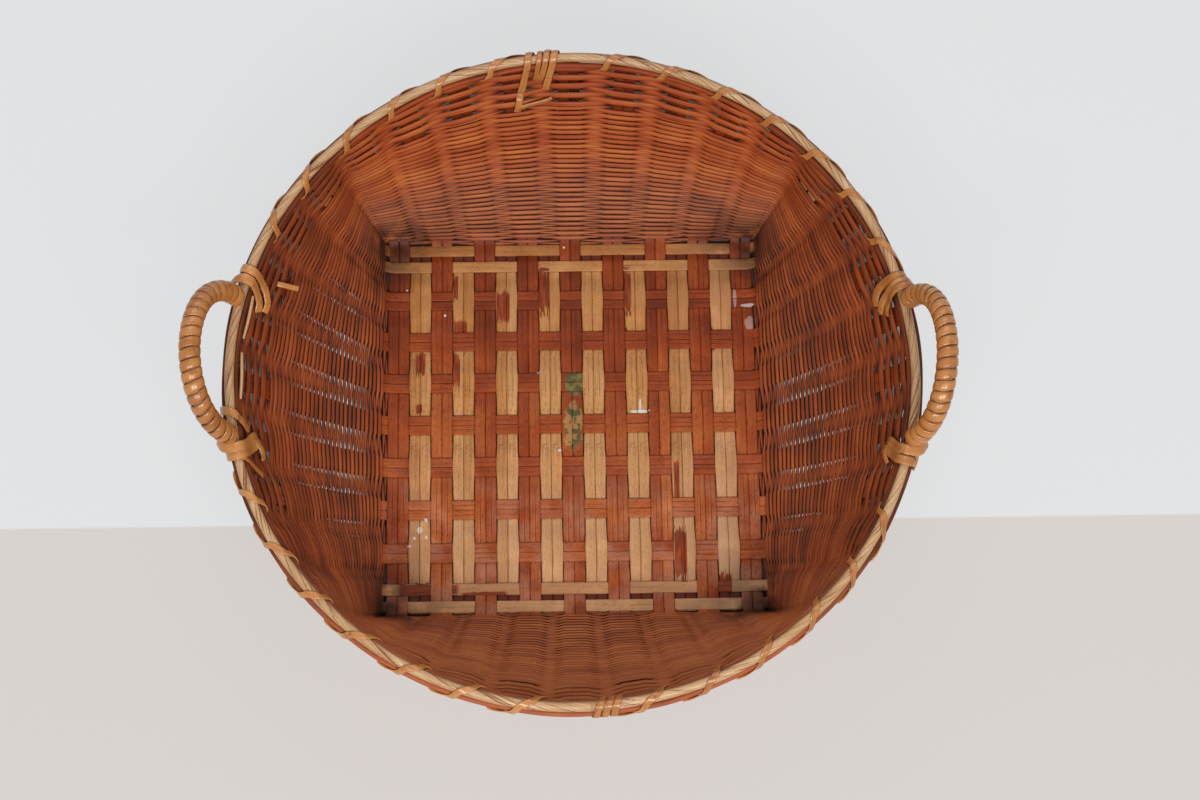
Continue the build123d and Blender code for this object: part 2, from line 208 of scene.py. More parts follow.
# ---- arrays --------------------------------------------------------------------------------
def unit(vectors):
    """Each vector divided by its own length."""
    return vectors / np.linalg.norm(vectors, axis=-1, keepdims=True)


def smooth(share):
    """Smooth step: 3 s^2 - 2 s^3 of a share held between 0 and 1."""
    share = np.clip(share, 0, 1)
    return share * share * (3 - 2 * share)


def slow_noise(rng, paths, steps, waves, closed=True):
    """One gentle random line for each path: a few sines with random phases, between about -1 and 1."""
    place = np.linspace(0, 2 * pi, steps, endpoint=not closed)
    order = rng.integers(waves[0], waves[1] + 1, (paths, 4))
    phase = rng.uniform(0, 2 * pi, (paths, 4))
    return np.sin(order[..., None] * place + phase[..., None]).sum(1) / 2.5


def softened(line, passes):
    """A line of points whose inner points are drawn towards their neighbours, a few times over."""
    line = line.copy()
    for _ in range(passes):
        line[1:-1] = (line[:-2] + 2 * line[1:-1] + line[2:]) / 4
    return line


def along_of(centre, closed):
    """Unit direction of travel at each step: from the step before to the step after."""
    if closed:
        return unit(np.roll(centre, -1, 1) - np.roll(centre, 1, 1))
    return unit(np.gradient(centre, axis=1))


FIBRE_SHIFT = 0.37              # metres by which each path's fibres are moved on from the last's
FIBRE_SHIFT_WAY = np.array([1.0, 0.31, 0.17])


def swept(centre, up, half_width, half_height, sides=8, power=2.0, closed=False, tone=0.5, twist=0.0):
    """Rods, canes or strips carried along paths, as one set of arrays.

    A point is centre + across * half width * c + up * half height * s, where c and s are the
    cosine and sine of the side's angle, raised to 2 / power with their signs kept: power 2 is an
    oval and higher powers are flatter. across is the travel direction crossed with up. The fibre
    attribute is the same point on the straightened rod, turned by twist for each metre. tone is
    one value, or one for each path, or a function of c and s that gives one for every point.
    """
    centre, up = np.atleast_3d(centre), np.atleast_3d(up)
    paths, steps = centre.shape[:2]
    along = along_of(centre, closed)
    up = unit(up - along * (up * along).sum(-1, keepdims=True))
    across = np.cross(along, up)
    angle = 2 * pi * (np.arange(sides) + 0.5) / sides
    c = np.sign(np.cos(angle)) * np.abs(np.cos(angle)) ** (2 / power)
    s = np.sign(np.sin(angle)) * np.abs(np.sin(angle)) ** (2 / power)
    width = np.broadcast_to(half_width, (paths, steps))[..., None]
    height = np.broadcast_to(half_height, (paths, steps))[..., None]
    points = centre[:, :, None] + across[:, :, None] * (width * c)[..., None]
    points = points + up[:, :, None] * (height * s)[..., None]
    step_length = np.linalg.norm(np.diff(centre, axis=1), axis=-1)
    run = np.concatenate([np.zeros((paths, 1)), np.cumsum(step_length, 1)], 1)[..., None]
    turn = angle + twist * run
    size = np.sqrt((width * c) ** 2 + (height * s) ** 2)
    if twist:
        fibre = np.stack(np.broadcast_arrays(run, size * np.cos(turn), size * np.sin(turn)), -1)
    else:
        fibre = np.stack(np.broadcast_arrays(run, width * c, height * s), -1)
    fibre = fibre + (np.arange(paths) * FIBRE_SHIFT)[:, None, None, None] * FIBRE_SHIFT_WAY
    rows = np.arange(steps) if closed else np.arange(steps - 1)
    start = np.arange(paths)[:, None, None] * steps * sides
    here = start + (rows * sides)[None, :, None]
    there = start + ((rows + 1) % steps * sides)[None, :, None]
    side, beside = np.arange(sides), (np.arange(sides) + 1) % sides
    quads = np.stack([here + side, there + side, there + beside, here + beside], -1)
    caps = np.zeros((0, sides), int)
    if not closed:
        first = start[:, :, 0] + side
        last = start[:, :, 0] + (steps - 1) * sides + side[::-1]
        caps = np.concatenate([first, last])
    tones = tone(c, s) if callable(tone) else np.reshape(tone, (-1, 1, 1))
    tones = np.broadcast_to(tones, points.shape[:3])
    return {
        "points": points.reshape(-1, 3), "quads": quads.reshape(-1, 4), "caps": caps,
        "fibre": fibre.reshape(-1, 3), "tone": tones.reshape(-1),
    }


def make_piece(name, sweeps, material, replaced=()):
    """One object from a list of sweeps: their points, faces and attributes laid end to end."""
    starts = np.cumsum([0] + [len(sweep["points"]) for sweep in sweeps])
    faces = [sweep[kind] + start for sweep, start in zip(sweeps, starts) for kind in ("quads", "caps")]
    totals = np.concatenate([np.full(len(face), face.shape[1]) for face in faces])
    corners = np.concatenate([face.ravel() for face in faces])
    mesh = bpy.data.meshes.new(name)
    mesh.vertices.add(starts[-1])
    mesh.vertices.foreach_set("co", np.concatenate([s["points"] for s in sweeps]).ravel())
    mesh.loops.add(len(corners))
    mesh.loops.foreach_set("vertex_index", corners)
    mesh.polygons.add(len(totals))
    mesh.polygons.foreach_set("loop_start", np.cumsum(totals) - totals)
    mesh.polygons.foreach_set("use_smooth", np.ones(len(totals), bool))
    mesh.update(calc_edges=True)
    fibre = mesh.attributes.new("fibre", "FLOAT_VECTOR", "POINT")
    fibre.data.foreach_set("vector", np.concatenate([s["fibre"] for s in sweeps]).ravel())
    tone = mesh.attributes.new("tone", "FLOAT", "POINT")
    tone.data.foreach_set("value", np.concatenate([s["tone"] for s in sweeps]))
    mesh.validate()
    piece = bpy.data.objects.new(name, mesh)
    bpy.context.scene.collection.objects.link(piece)
    mesh.materials.append(material)
    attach(piece, "root")
    if replaced:
        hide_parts(*replaced)
    return piece


# ---- the wall's surface --------------------------------------------------------------------
def column_step():
    """Distance from one front-to-back pair to the next, from a dark one to a light one."""
    base = bpy.context.scene.basket_base
    return 2 * base.strip_width + base.pair_gap + base.column_gap


def base_edges():
    """Half length and half width of the plaited base, to the outer edge of its last strips."""
    base = bpy.context.scene.basket_base
    half_length = HALF_COLUMNS * column_step() + base.strip_width + base.pair_gap / 2
    return half_length, base.outer_border + base.border_width / 2


FOOT_CLEARANCE = 4.13 * MM      # from the base's edge to the middle of a stake's thickness


def wall_feet():
    """Distance of the stakes' feet from the middle, at the right and left and at the far and near."""
    edge_x, edge_y = base_edges()
    return edge_x + FOOT_CLEARANCE, edge_y + FOOT_CLEARANCE


def stake_feet():
    """Foot point and direction of travel of every stake, anticlockwise from the middle of the right.

    The right and far walls are laid out in rows and columns, and the left and near walls are
    the same turned half round.
    """
    base = bpy.context.scene.basket_base
    foot_x, foot_y = wall_feet()
    column_pitch = 2 * column_step()
    half_turn, place = np.divmod((np.arange(STAKES) + HALF_ROWS) % STAKES, STAKES // 2)
    sign = np.where(half_turn, -1.0, 1.0)
    row = place - HALF_ROWS
    border = (base.inner_border + base.outer_border) / 2
    row_y = np.where(abs(row) < HALF_ROWS, row * base.cross_pitch, np.sign(row) * border)
    on_side = row <= HALF_ROWS
    foot = np.stack([
        sign * np.where(on_side, foot_x, (STAKES // 4 - row) * column_pitch),
        sign * np.where(on_side, row_y, foot_y),
    ], -1)
    turn = np.stack([np.where(on_side, 0, -sign), np.where(on_side, sign, 0)], -1)
    return foot, turn


def half_widths():
    """Half width of every stake at its foot and at its top. The border strips draw together."""
    base = bpy.context.scene.basket_base
    row = (np.arange(STAKES) + HALF_ROWS) % (STAKES // 2) - HALF_ROWS
    plain = base.pair_gap / 2 + np.where(abs(row) < HALF_ROWS, base.cross_width, base.strip_width)
    spread = (base.outer_border - base.inner_border + base.border_width) / 2
    corner = abs(row) == HALF_ROWS
    return np.where(corner, spread, plain), np.where(corner, base.border_width + base.pair_gap / 2, plain)


def wall_point(index, side_foot, side_top, share, depth):
    """Points of the wall beside a stake, with the direction round the wall and the way out of it.

    Across the floor a point goes from the foot to the top circle by out = s + belly s (1 - s), where
    s is the share of the height. The direction of travel turns evenly from the base's edge to
    the circle's, and the way out is square to it and to the slope.
    """
    wall = bpy.context.scene.basket_wall
    feet, turns = stake_feet()
    share = np.asarray(share, float)
    foot, turn = feet[index], turns[index]
    angle = np.asarray(index) * STAKE_STEP
    top = wall.top_radius * np.stack([np.cos(angle), np.sin(angle)], -1)
    top_turn = np.stack([-np.sin(angle), np.cos(angle)], -1)
    out = (share * (1 + wall.belly * (1 - share)))[..., None]
    along = unit(turn + (top_turn - turn) * out)
    outward = np.stack([along[..., 1], -along[..., 0]], -1)
    slope = ((top - foot) * outward).sum(-1) * (1 + wall.belly * (1 - 2 * share))
    slope = slope / (STAKE_TOP_Z - FINE_FOOT_Z)
    side = (side_foot + (side_top - side_foot) * share)[..., None]
    flat = foot + (top - foot) * out + side * along
    height = FINE_FOOT_Z + (STAKE_TOP_Z - FINE_FOOT_Z) * share
    point = np.concatenate([flat, np.broadcast_to(height[..., None], flat.shape[:-1] + (1,))], -1)
    normal = unit(np.concatenate([outward, -slope[..., None]], -1))
    travel = np.concatenate([along, np.zeros(along.shape[:-1] + (1,))], -1)
    return point + normal * np.asarray(depth)[..., None], travel, normal


STAKE_PLACES = np.array([-1.0, 0.0, 1.0])
BAY_PLACES = np.array([0.13, 0.26, 0.36, 0.45, 0.55, 0.64, 0.74, 0.87])
RING_STEPS = STAKES * (len(STAKE_PLACES) + len(BAY_PLACES))
CROSSING_POWER = 1.6            # above 1, rods run side by side for longer in the middle of a bay


def woven_rings(shares, depth, first_side, wander):
    """Centre lines of closed rods that pass outside one stake and inside the next.

    Beside each stake a ring has three points on its face. Across the bay to the next stake it
    follows a cubic whose ends run along both stakes' faces, and the depth goes from one face to
    the other as a power of the distance from the middle of the bay. wander, of one value for each
    ring and point, moves points up the wall.
    """
    rings = len(shares)
    index = np.arange(STAKES)
    foot_half, top_half = half_widths()
    share = np.broadcast_to(np.reshape(shares, (rings, 1, 1)), (rings, STAKES, 3))
    side_foot = foot_half[:, None] * STAKE_PLACES
    side_top = top_half[:, None] * STAKE_PLACES
    point, travel, normal = wall_point(
        np.broadcast_to(index[:, None], (rings, STAKES, 3)),
        side_foot, side_top, share, np.zeros((rings, STAKES, 3)),
    )
    end, end_way = point[:, :, 2], travel[:, :, 2]
    begin, begin_way = np.roll(point[:, :, 0], -1, 1), np.roll(travel[:, :, 0], -1, 1)
    reach = np.linalg.norm(begin - end, axis=-1)[..., None, None]
    t = BAY_PLACES[None, None, :, None]
    bay = (
        (2 * t ** 3 - 3 * t ** 2 + 1) * end[:, :, None]
        + (t ** 3 - 2 * t ** 2 + t) * reach * end_way[:, :, None]
        + (3 * t ** 2 - 2 * t ** 3) * begin[:, :, None]
        + (t ** 3 - t ** 2) * reach * begin_way[:, :, None]
    )
    next_normal = np.roll(normal[:, :, 0], -1, 1)
    bay_normal = unit(normal[:, :, 2:3] * (1 - t) + next_normal[:, :, None] * t)
    centre = np.concatenate([point, bay], 2)
    out = np.concatenate([normal, bay_normal], 2)
    sign = np.where((index[None] + np.reshape(first_side, (-1, 1))) % 2, -1.0, 1.0)[..., None]
    left = 1 - 2 * BAY_PLACES
    change = np.sign(left) * np.abs(left) ** CROSSING_POWER
    wave = np.concatenate([np.broadcast_to(sign, (rings, STAKES, 3)), sign * change], 2)
    centre, out = centre.reshape(rings, RING_STEPS, 3), out.reshape(rings, RING_STEPS, 3)
    wave = wave.reshape(rings, RING_STEPS)
    upward = unit(np.cross(out, along_of(centre, True)))
    centre = centre + out * (depth * wave)[..., None] + upward * wander[..., None]
    return centre, out, wave


CREVICE = 1.5                   # how much painted shade darkens a rod on its hidden side
UNDER = 0.8                     # how much painted shade darkens it along its lower edge
UNDER_FROM = 0.35               # where that painted shade begins, as a share of its half width


def crevice_tone(tone, wave, upper_edge_shade=0.0):
    """A rod's tone, lowered by painted shade where it faces the stakes and along its lower edge.

    A row is also given painted shade along its upper edge, by a share given for each row.
    """
    def by_side(c, s):
        over = smooth((-c - UNDER_FROM) / (1 - UNDER_FROM)) * np.reshape(upper_edge_shade, (-1, 1, 1))
        hidden = np.clip(-wave[..., None] * s, 0, 1)
        under = smooth((c - UNDER_FROM) / (1 - UNDER_FROM)) * np.abs(wave[..., None])
        return np.reshape(tone, (-1, 1, 1)) - CREVICE * hidden - UNDER * (under + over)
    return by_side


def cut_at_random(rng, *arrays):
    """Each ring's arrays turned to start at a stake of its own, where its rod's two ends meet."""
    rings, steps = arrays[0].shape[:2]
    start = rng.integers(0, STAKES, rings)[:, None] * (steps // STAKES)
    order = (np.arange(steps)[None] + start) % steps
    return [array[np.arange(rings)[:, None], order] for array in arrays]


def shares_by_length(low_z, high_z, rows):
    """Shares of the wall's height for rows evenly spaced up the slope between two heights."""
    wall = bpy.context.scene.basket_wall
    share = np.linspace(0, 1, 400)
    reach = wall.top_radius - wall_feet()[0]
    out = reach * share * (1 + wall.belly * (1 - share))
    height = (STAKE_TOP_Z - FINE_FOOT_Z) * share
    run = np.concatenate([[0], np.cumsum(np.hypot(np.diff(out), np.diff(height)))])
    low, high = np.interp([low_z - FINE_FOOT_Z, high_z - FINE_FOOT_Z], height, run)
    places = low + (high - low) * (np.arange(rows) + 0.5) / rows
    return np.interp(places, run, share)


# ---- materials -----------------------------------------------------------------------------
def add(tree, kind, inputs=None, **settings):
    """Adds a shader node with its settings, its plain input values and its links."""
    node = tree.nodes.new("ShaderNode" + kind)
    for key, value in settings.items():
        setattr(node, key, value)
    for key, value in (inputs or {}).items():
        if isinstance(value, bpy.types.NodeSocket):
            tree.links.new(value, node.inputs[key])
        else:
            node.inputs[key].default_value = value
    return node


def ramp(tree, factor, stops):
    """A colour ramp through (place, colour) stops."""
    node = add(tree, "ValToRGB", {"Fac": factor})
    elements = node.color_ramp.elements
    elements[0].position, elements[0].color = stops[0][0], (*stops[0][1], 1)
    elements[1].position, elements[1].color = stops[-1][0], (*stops[-1][1], 1)
    for place, tint in stops[1:-1]:
        elements.new(place).color = (*tint, 1)
    return node.outputs["Color"]


def fibres(tree, length_mm, width_mm, detail=3.0):
    """Streaks along the fibre: noise on the straightened rod, long one way and fine the other two."""
    place = add(tree, "Attribute", attribute_name="fibre")
    scale = (1 / (length_mm * MM), 1 / (width_mm * MM), 1 / (width_mm * MM))
    stretched = add(tree, "Mapping", {"Vector": place.outputs["Vector"], "Scale": scale})
    noise = add(tree, "TexNoise", {"Vector": stretched.outputs[0], "Scale": 1.0, "Detail": detail})
    return noise.outputs["Fac"]


def blotches(tree, size_mm, detail=2.0):
    """Soft blotches: noise on the object's own coordinates."""
    place = add(tree, "TexCoord")
    noise = add(
        tree, "TexNoise",
        {"Vector": place.outputs["Object"], "Scale": 1 / (size_mm * MM), "Detail": detail},
    )
    return noise.outputs["Fac"]


def figure(tree, operation, first, second=0.5, third=0.5, clamp=False):
    """One arithmetic step."""
    node = add(tree, "Math", {0: first, 1: second, 2: third}, operation=operation, use_clamp=clamp)
    return node.outputs[0]


def product(tree, *factors):
    """Two or more factors multiplied, in order."""
    total = factors[0]
    for factor in factors[1:]:
        total = figure(tree, "MULTIPLY", total, factor)
    return total


def place_parts(tree):
    """The x, y and z of each point on the object's own coordinates."""
    return add(tree, "SeparateXYZ", {0: add(tree, "TexCoord").outputs["Object"]}).outputs


def between(tree, value, low, high):
    """0 at low, 1 at high, and smooth between, whichever of the two is more."""
    node = add(
        tree, "MapRange", {"Value": value, "From Min": low, "From Max": high},
        interpolation_type="SMOOTHSTEP",
    )
    return node.outputs[0]


def mixed(tree, factor, first, second, blend="MIX"):
    """Two colours mixed by a factor."""
    node = add(tree, "Mix", data_type="RGBA", blend_type=blend)
    for socket, value in ((0, factor), (6, first), (7, second)):
        if isinstance(value, bpy.types.NodeSocket):
            tree.links.new(value, node.inputs[socket])
        elif socket:
            node.inputs[socket].default_value = (*value, 1)
        else:
            node.inputs[socket].default_value = value
    return node.outputs[2]


def tinged(tree, tint, factor, strength, hex_code):
    """A colour tinged with another, by a factor times a strength."""
    return mixed(tree, product(tree, factor, strength), tint, linear(hex_code))


def patch(tree, middle_mm, half_mm, ragged=0.5, boxy=False):
    """1 inside an oval or boxy patch of the base, 0 outside, with an edge made ragged by noise."""
    place = add(tree, "TexCoord").outputs["Object"]
    local = add(
        tree, "VectorMath", {0: place, 1: tuple(-value * MM for value in middle_mm)}, operation="ADD"
    ).outputs[0]
    scaled = add(
        tree, "VectorMath", {0: local, 1: tuple(1 / (value * MM) for value in half_mm)},
        operation="MULTIPLY",
    ).outputs[0]
    middle = 0.5 * ragged
    if boxy:
        size = add(tree, "VectorMath", {0: scaled}, operation="ABSOLUTE").outputs[0]
        parts = add(tree, "SeparateXYZ", {0: size}).outputs
        torn = figure(tree, "MULTIPLY_ADD", fibres(tree, 7.0, 0.9), ragged, parts[1])
        distance = figure(tree, "MAXIMUM", figure(tree, "ADD", parts[0], middle), torn)
    else:
        distance = add(tree, "VectorMath", {0: scaled}, operation="LENGTH").outputs["Value"]
        distance = figure(tree, "MULTIPLY_ADD", blotches(tree, 4.0, 4.0), ragged, distance)
    return between(tree, distance, 1.0 + middle + 0.08, 1.0 + middle - 0.12)


def finished(name, tint, roughness, bump, bump_mm, specular=0.5, coat=0.0, coat_roughness=0.2):
    """A material with the given colour, roughness and height sockets on its shader."""
    material = bpy.data.materials.new(name)
    material.use_nodes = True
    tree = material.node_tree
    shader = tree.nodes["Principled BSDF"]
    colour_socket = tint(tree)
    tree.links.new(colour_socket, shader.inputs["Base Color"])
    rough = roughness(tree) if callable(roughness) else roughness
    if isinstance(rough, bpy.types.NodeSocket):
        tree.links.new(rough, shader.inputs["Roughness"])
    else:
        shader.inputs["Roughness"].default_value = rough
    shader.inputs["Specular IOR Level"].default_value = specular
    shader.inputs["Coat Weight"].default_value = coat
    shader.inputs["Coat Roughness"].default_value = coat_roughness
    relief = add(tree, "Bump", {"Height": bump(tree), "Distance": bump_mm * MM, "Strength": 1.0})
    tree.links.new(relief.outputs[0], shader.inputs["Normal"])
    return material


FOOT_DARKENING_HEIGHT = (42 * MM, 2 * MM)        # where the darkening begins, and where it is strongest
FOOT_DARKENING_CORNER = (0.009, 0.0175)          # the same, by x times y in square metres


def wall_foot_darkening(tree):
    """Darkening at the foot of the wall, most of all in the four corners, in blotches."""
    x, y, z = place_parts(tree)
    low = between(tree, z, *FOOT_DARKENING_HEIGHT)
    corner = product(tree, figure(tree, "ABSOLUTE", x), figure(tree, "ABSOLUTE", y))
    corner = between(tree, corner, *FOOT_DARKENING_CORNER)
    foot = product(tree, low, figure(tree, "MULTIPLY_ADD", corner, 0.85, 0.18))
    return product(tree, foot, between(tree, blotches(tree, 14.0, 4.0), 0.25, 0.55))


def darkened_at_foot(tree, tint):
    """A colour with that darkening on it."""
    return mixed(tree, wall_foot_darkening(tree), tint, tuple(bpy.context.scene.basket_finish.foot_darkening))


def towards(tree, from_mm, to_mm):
    """0 at one y of the object's own coordinates and 1 at the other, both in millimetres."""
    return between(tree, place_parts(tree)[1], from_mm * MM, to_mm * MM)


def pored(tree, tint):
    """Brown streaks and short dark pores, all over a split."""
    pores = between(tree, fibres(tree, 2.4, 0.9, 2.0), 0.56, 0.70)
    streaks = between(tree, fibres(tree, 35, 0.6, 3.0), 0.52, 0.68)
    tint = tinged(tree, tint, streaks, 0.3, "6E3214")
    return tinged(tree, tint, pores, 0.5, "3A140A")


DUST_MM = (
    # middle x, y of a pale speck or smear, its half width and half length, and its strength
    (-86.4, 79.2, 0.9, 0.9, 0.9), (-22.6, 36.7, 1.5, 0.8, 0.9), (-4.2, 127.6, 0.8, 0.8, 0.8),
    (-112.6, 98.1, 0.8, 0.8, 0.6), (-8.7, -19.2, 1.3, 0.9, 0.8), (-103.0, -73.5, 1.6, 2.4, 0.8),
    (-106.5, -79.5, 0.9, 1.2, 0.7), (-99.0, -66.5, 1.0, 1.0, 0.8), (-98.5, -79.0, 0.8, 1.4, 0.7),
    (-110.0, -85.0, 1.4, 0.8, 0.6), (46.0, 8.4, 7.0, 1.1, 0.75), (46.2, 12.5, 0.8, 5.0, 0.6),
    (121.5, 84.0, 4.6, 1.2, 0.5), (122.5, 71.0, 3.6, 5.0, 0.28), (113.0, 90.0, 1.2, 7.0, 0.3),
)


def dusted(tree, tint):
    """Flour-pale specks and smears left on the base."""
    for middle_x, middle_y, half_x, half_y, strength in DUST_MM:
        speck = patch(tree, (middle_x, middle_y, 3.0), (half_x, half_y, 12.0), 0.8)
        tint = tinged(tree, tint, speck, strength, "D2CEC8")
    return tint


def tone_of(tree):
    """The shade that each rod or strip was given."""
    return add(tree, "Attribute", attribute_name="tone").outputs["Fac"]


def shade(tree, tone_part, fibre_part, blotch_part, fibre_size=(40, 0.55), blotch_mm=22):
    """A 0 to 1 shade: the rod's own tone, its fibres and soft blotches, added in given parts."""
    own = product(tree, tone_of(tree), tone_part)
    streak = figure(tree, "MULTIPLY_ADD", fibres(tree, *fibre_size), fibre_part, own)
    return figure(tree, "MULTIPLY_ADD", blotches(tree, blotch_mm), blotch_part, streak)


def stained_rod_material():
    """Rattan core dyed red-brown and woven: thin dye, a soft sheen and fibres along the rod.

    It is painted darker and browner on the left and right walls, as painted shade, and lighter on
    the far wall, as painted light; it is lighter on the near wall as well. A dusty haze has settled
    low on the wall, most of all on the far side, and all over the near side.
    """
    finish = bpy.context.scene.basket_finish

    def tint(tree):
        x, y, z = place_parts(tree)
        side = between(tree, figure(tree, "ABSOLUTE", x), 120 * MM, 170 * MM)
        far = between(tree, y, 110 * MM, 150 * MM)
        near = between(tree, y, -110 * MM, -150 * MM)
        # Painted shade darkens the left and right walls; painted light lightens the far wall. The near wall
        # is lightened too.
        value = figure(tree, "MULTIPLY_ADD", side, -0.12, shade(tree, 0.42, 0.5, 0.5))
        value = figure(tree, "MULTIPLY_ADD", near, 0.16, value)
        value = figure(tree, "MULTIPLY_ADD", far, 0.07, value)
        dyed = ramp(tree, value, [
            (0.02, finish.deep_dye_and_shade), (0.34, finish.stain_deep), (0.64, finish.stain),
            (1.0, finish.stain_worn),
        ])
        # Painted shade: the left and right walls are turned browner.
        dyed = tinged(tree, dyed, side, 0.3, "5E3620")
        low = between(tree, z, 66 * MM, 24 * MM)
        haze = product(tree, low, figure(tree, "MULTIPLY_ADD", far, 0.17, 0.05))
        haze = figure(tree, "MAXIMUM", haze, product(tree, near, 0.13))
        return darkened_at_foot(tree, mixed(tree, haze, dyed, linear("B0866A")))

    return finished(
        "Dyed rattan core", tint, 0.5, lambda tree: fibres(tree, 12, 0.35), 0.06, specular=0.22
    )


def stained_split_material():
    """Bamboo split flat and dyed red-brown: straight dark pores, rubbed lighter on its crown."""
    finish = bpy.context.scene.basket_finish

    def tint(tree):
        value = figure(tree, "ADD", shade(tree, 0.38, 0.45, 0.55, (60, 0.8), 26), 0.08)
        value = figure(tree, "MULTIPLY_ADD", towards(tree, -10, 95), -0.22, value)
        dyed = ramp(tree, value, [
            (0.08, finish.deep_dye_and_shade), (0.38, linear("6C280E")), (0.68, finish.stain),
            (1.0, finish.stain_worn),
        ])
        worn = between(tree, blotches(tree, 18.0, 4.0), 0.35, 0.7)
        dyed = tinged(tree, dyed, product(tree, towards(tree, -5, -90), worn), 0.45, "C08A70")
        crack = between(tree, fibres(tree, 110, 1.1, 2.0), 0.66, 0.74)
        dyed = pored(tree, mixed(tree, crack, dyed, tuple(finish.stain_deep)))
        bare = patch(tree, (0.5, -2.0, 3.0), (6.6, 17.0, 6.0), 1.2)
        dyed = tinged(tree, dyed, bare, 0.75, "A9824E")
        mould = between(tree, blotches(tree, 5.0, 3.0), 0.50, 0.58)
        dyed = tinged(tree, dyed, bare, mould, "54502E")
        spot = patch(tree, (2.0, 29.0, 3.0), (7.4, 9.5, 6.0), 0.5)
        mottle = between(tree, blotches(tree, 4.0, 3.0), 0.35, 0.65)
        olive = mixed(tree, mottle, linear("4C4626"), linear("7A7442"))
        return dusted(tree, darkened_at_foot(tree, mixed(tree, product(tree, spot, 0.9), dyed, olive)))

    return finished(
        "Dyed split bamboo", tint, 0.46, lambda tree: fibres(tree, 60, 0.6), 0.08, specular=0.16
    )


DYED_MM = (
    # middle x, y of a patch that the dye has reached, then its half width and half length
    (-97.0, -114.5, 20.0, 4.2), (-60.0, -117.6, 15.0, 1.2), (-79.0, 99.0, 1.6, 9.0),
    (38.0, 62.0, 1.4, 6.0), (-104.0, 12.0, 2.2, 3.0), (97.0, 60.0, 1.2, 7.0),
    (-103.0, 44.0, 3.2, 8.0), (-79.5, 38.0, 3.6, 12.0), (-75.5, 68.0, 4.6, 7.0),
    (-46.5, 84.0, 4.6, 10.0), (-18.5, 96.0, 3.9, 17.0), (37.5, 95.0, 4.2, 17.0),
    (71.0, -92.0, 4.2, 17.0), (69.6, -44.0, 1.8, 16.0), (99.5, -113.0, 5.2, 7.5),
)


def natural_split_material():
    """Bamboo split flat and left its own colour: fine grain, with dye that ran on to it in places."""
    finish = bpy.context.scene.basket_finish

    def tint(tree):
        value = shade(tree, 0.4, 0.55, 0.4, (70, 0.7), 30)
        bare = ramp(tree, value, [
            (0.34, finish.straw_deep), (0.64, finish.straw), (1.0, finish.straw_pale),
        ])
        crack = between(tree, fibres(tree, 90, 1.0, 2.0), 0.68, 0.75)
        bare = pored(tree, mixed(tree, crack, bare, linear("6B3A1C")))
        bare = tinged(tree, bare, towards(tree, 0, 80), 0.35, "B06E36")
        x, y, _ = place_parts(tree)
        worn = product(tree, towards(tree, 5, -80), 0.3)
        worn = figure(tree, "MULTIPLY_ADD", between(tree, x, 50 * MM, 100 * MM), 0.22, worn)
        bare = mixed(tree, worn, bare, linear("C89C7C"))
        stain = mixed(
            tree, between(tree, fibres(tree, 12, 1.0), 0.4, 0.65), linear("742E12"), linear("9A421A")
        )
        for middle_x, middle_y, half_x, half_y in DYED_MM:
            reached = patch(tree, (middle_x, middle_y, 3.0), (half_x, half_y, 9.0), 2.0, boxy=True)
            bare = mixed(tree, reached, bare, stain)
        # Painted shade: the light strips are painted dark in the gap between the two border strips.
        across = figure(tree, "ABSOLUTE", y)
        inner_side = between(tree, across, 118.4 * MM, 118.8 * MM)
        border_gap_shade = product(tree, inner_side, between(tree, across, 122.7 * MM, 122.3 * MM))
        return dusted(tree, darkened_at_foot(tree, mixed(tree, border_gap_shade, bare, linear("5E220E"))))

    return finished(
        "Natural split bamboo", tint, 0.45, lambda tree: fibres(tree, 60, 0.5), 0.08, specular=0.2
    )


def natural_rod_material():
    """A thick rattan rod with its skin on, twisted as it was bent: long slanting grain."""
    finish = bpy.context.scene.basket_finish

    def tint(tree):
        value = shade(tree, 0.1, 0.75, 0.35, (30, 0.9), 30)
        bare = ramp(tree, value, [
            (0.32, finish.peeled_deep), (0.58, finish.peeled), (0.84, finish.peeled_pale),
        ])
        groove = between(tree, fibres(tree, 45, 1.2, 2.0), 0.56, 0.65)
        return mixed(tree, groove, bare, linear("7E4A24"))

    return finished(
        "Peeled rattan rod", tint, 0.4, lambda tree: fibres(tree, 26, 1.2), 0.25, specular=0.5
    )


def cane_material():
    """Rattan bark cut as flat cane: hard and glossy, orange tan, with fine lines along it."""
    finish = bpy.context.scene.basket_finish

    def tint(tree):
        value = shade(tree, 0.35, 0.5, 0.45, (30, 0.8), 16)
        bark = ramp(tree, value, [
            (0.34, finish.cane_deep), (0.64, finish.cane), (0.98, finish.cane_pale),
        ])
        marks = between(tree, blotches(tree, 6.0, 4.0), 0.56, 0.70)
        return tinged(tree, bark, marks, 0.5, "743A16")

    return finished(
        "Glossy rattan cane", tint, 0.3, lambda tree: fibres(tree, 30, 0.6), 0.05,
        specular=0.5, coat=0.25, coat_roughness=0.26,
    )


MADE = {}


def material(maker):
    """The material that a maker makes, made once."""
    if maker not in MADE:
        MADE[maker] = maker()
    return MADE[maker]


# ---- base ----------------------------------------------------------------------------------
def layer_step():
    """Height from one layer of strips to the next."""
    base = bpy.context.scene.basket_base
    return base.strip_thickness + base.layer_play


def over_rows(dark):
    """Side-to-side places, border strips last, and whether a strip of this kind passes over each.

    Dark strips pass over the even places from the middle, and light ones over the odd ones.
    """
    base = bpy.context.scene.basket_base
    rows = np.arange(1 - HALF_ROWS, HALF_ROWS)
    return rows * base.cross_pitch, (rows % 2 == 0) == dark


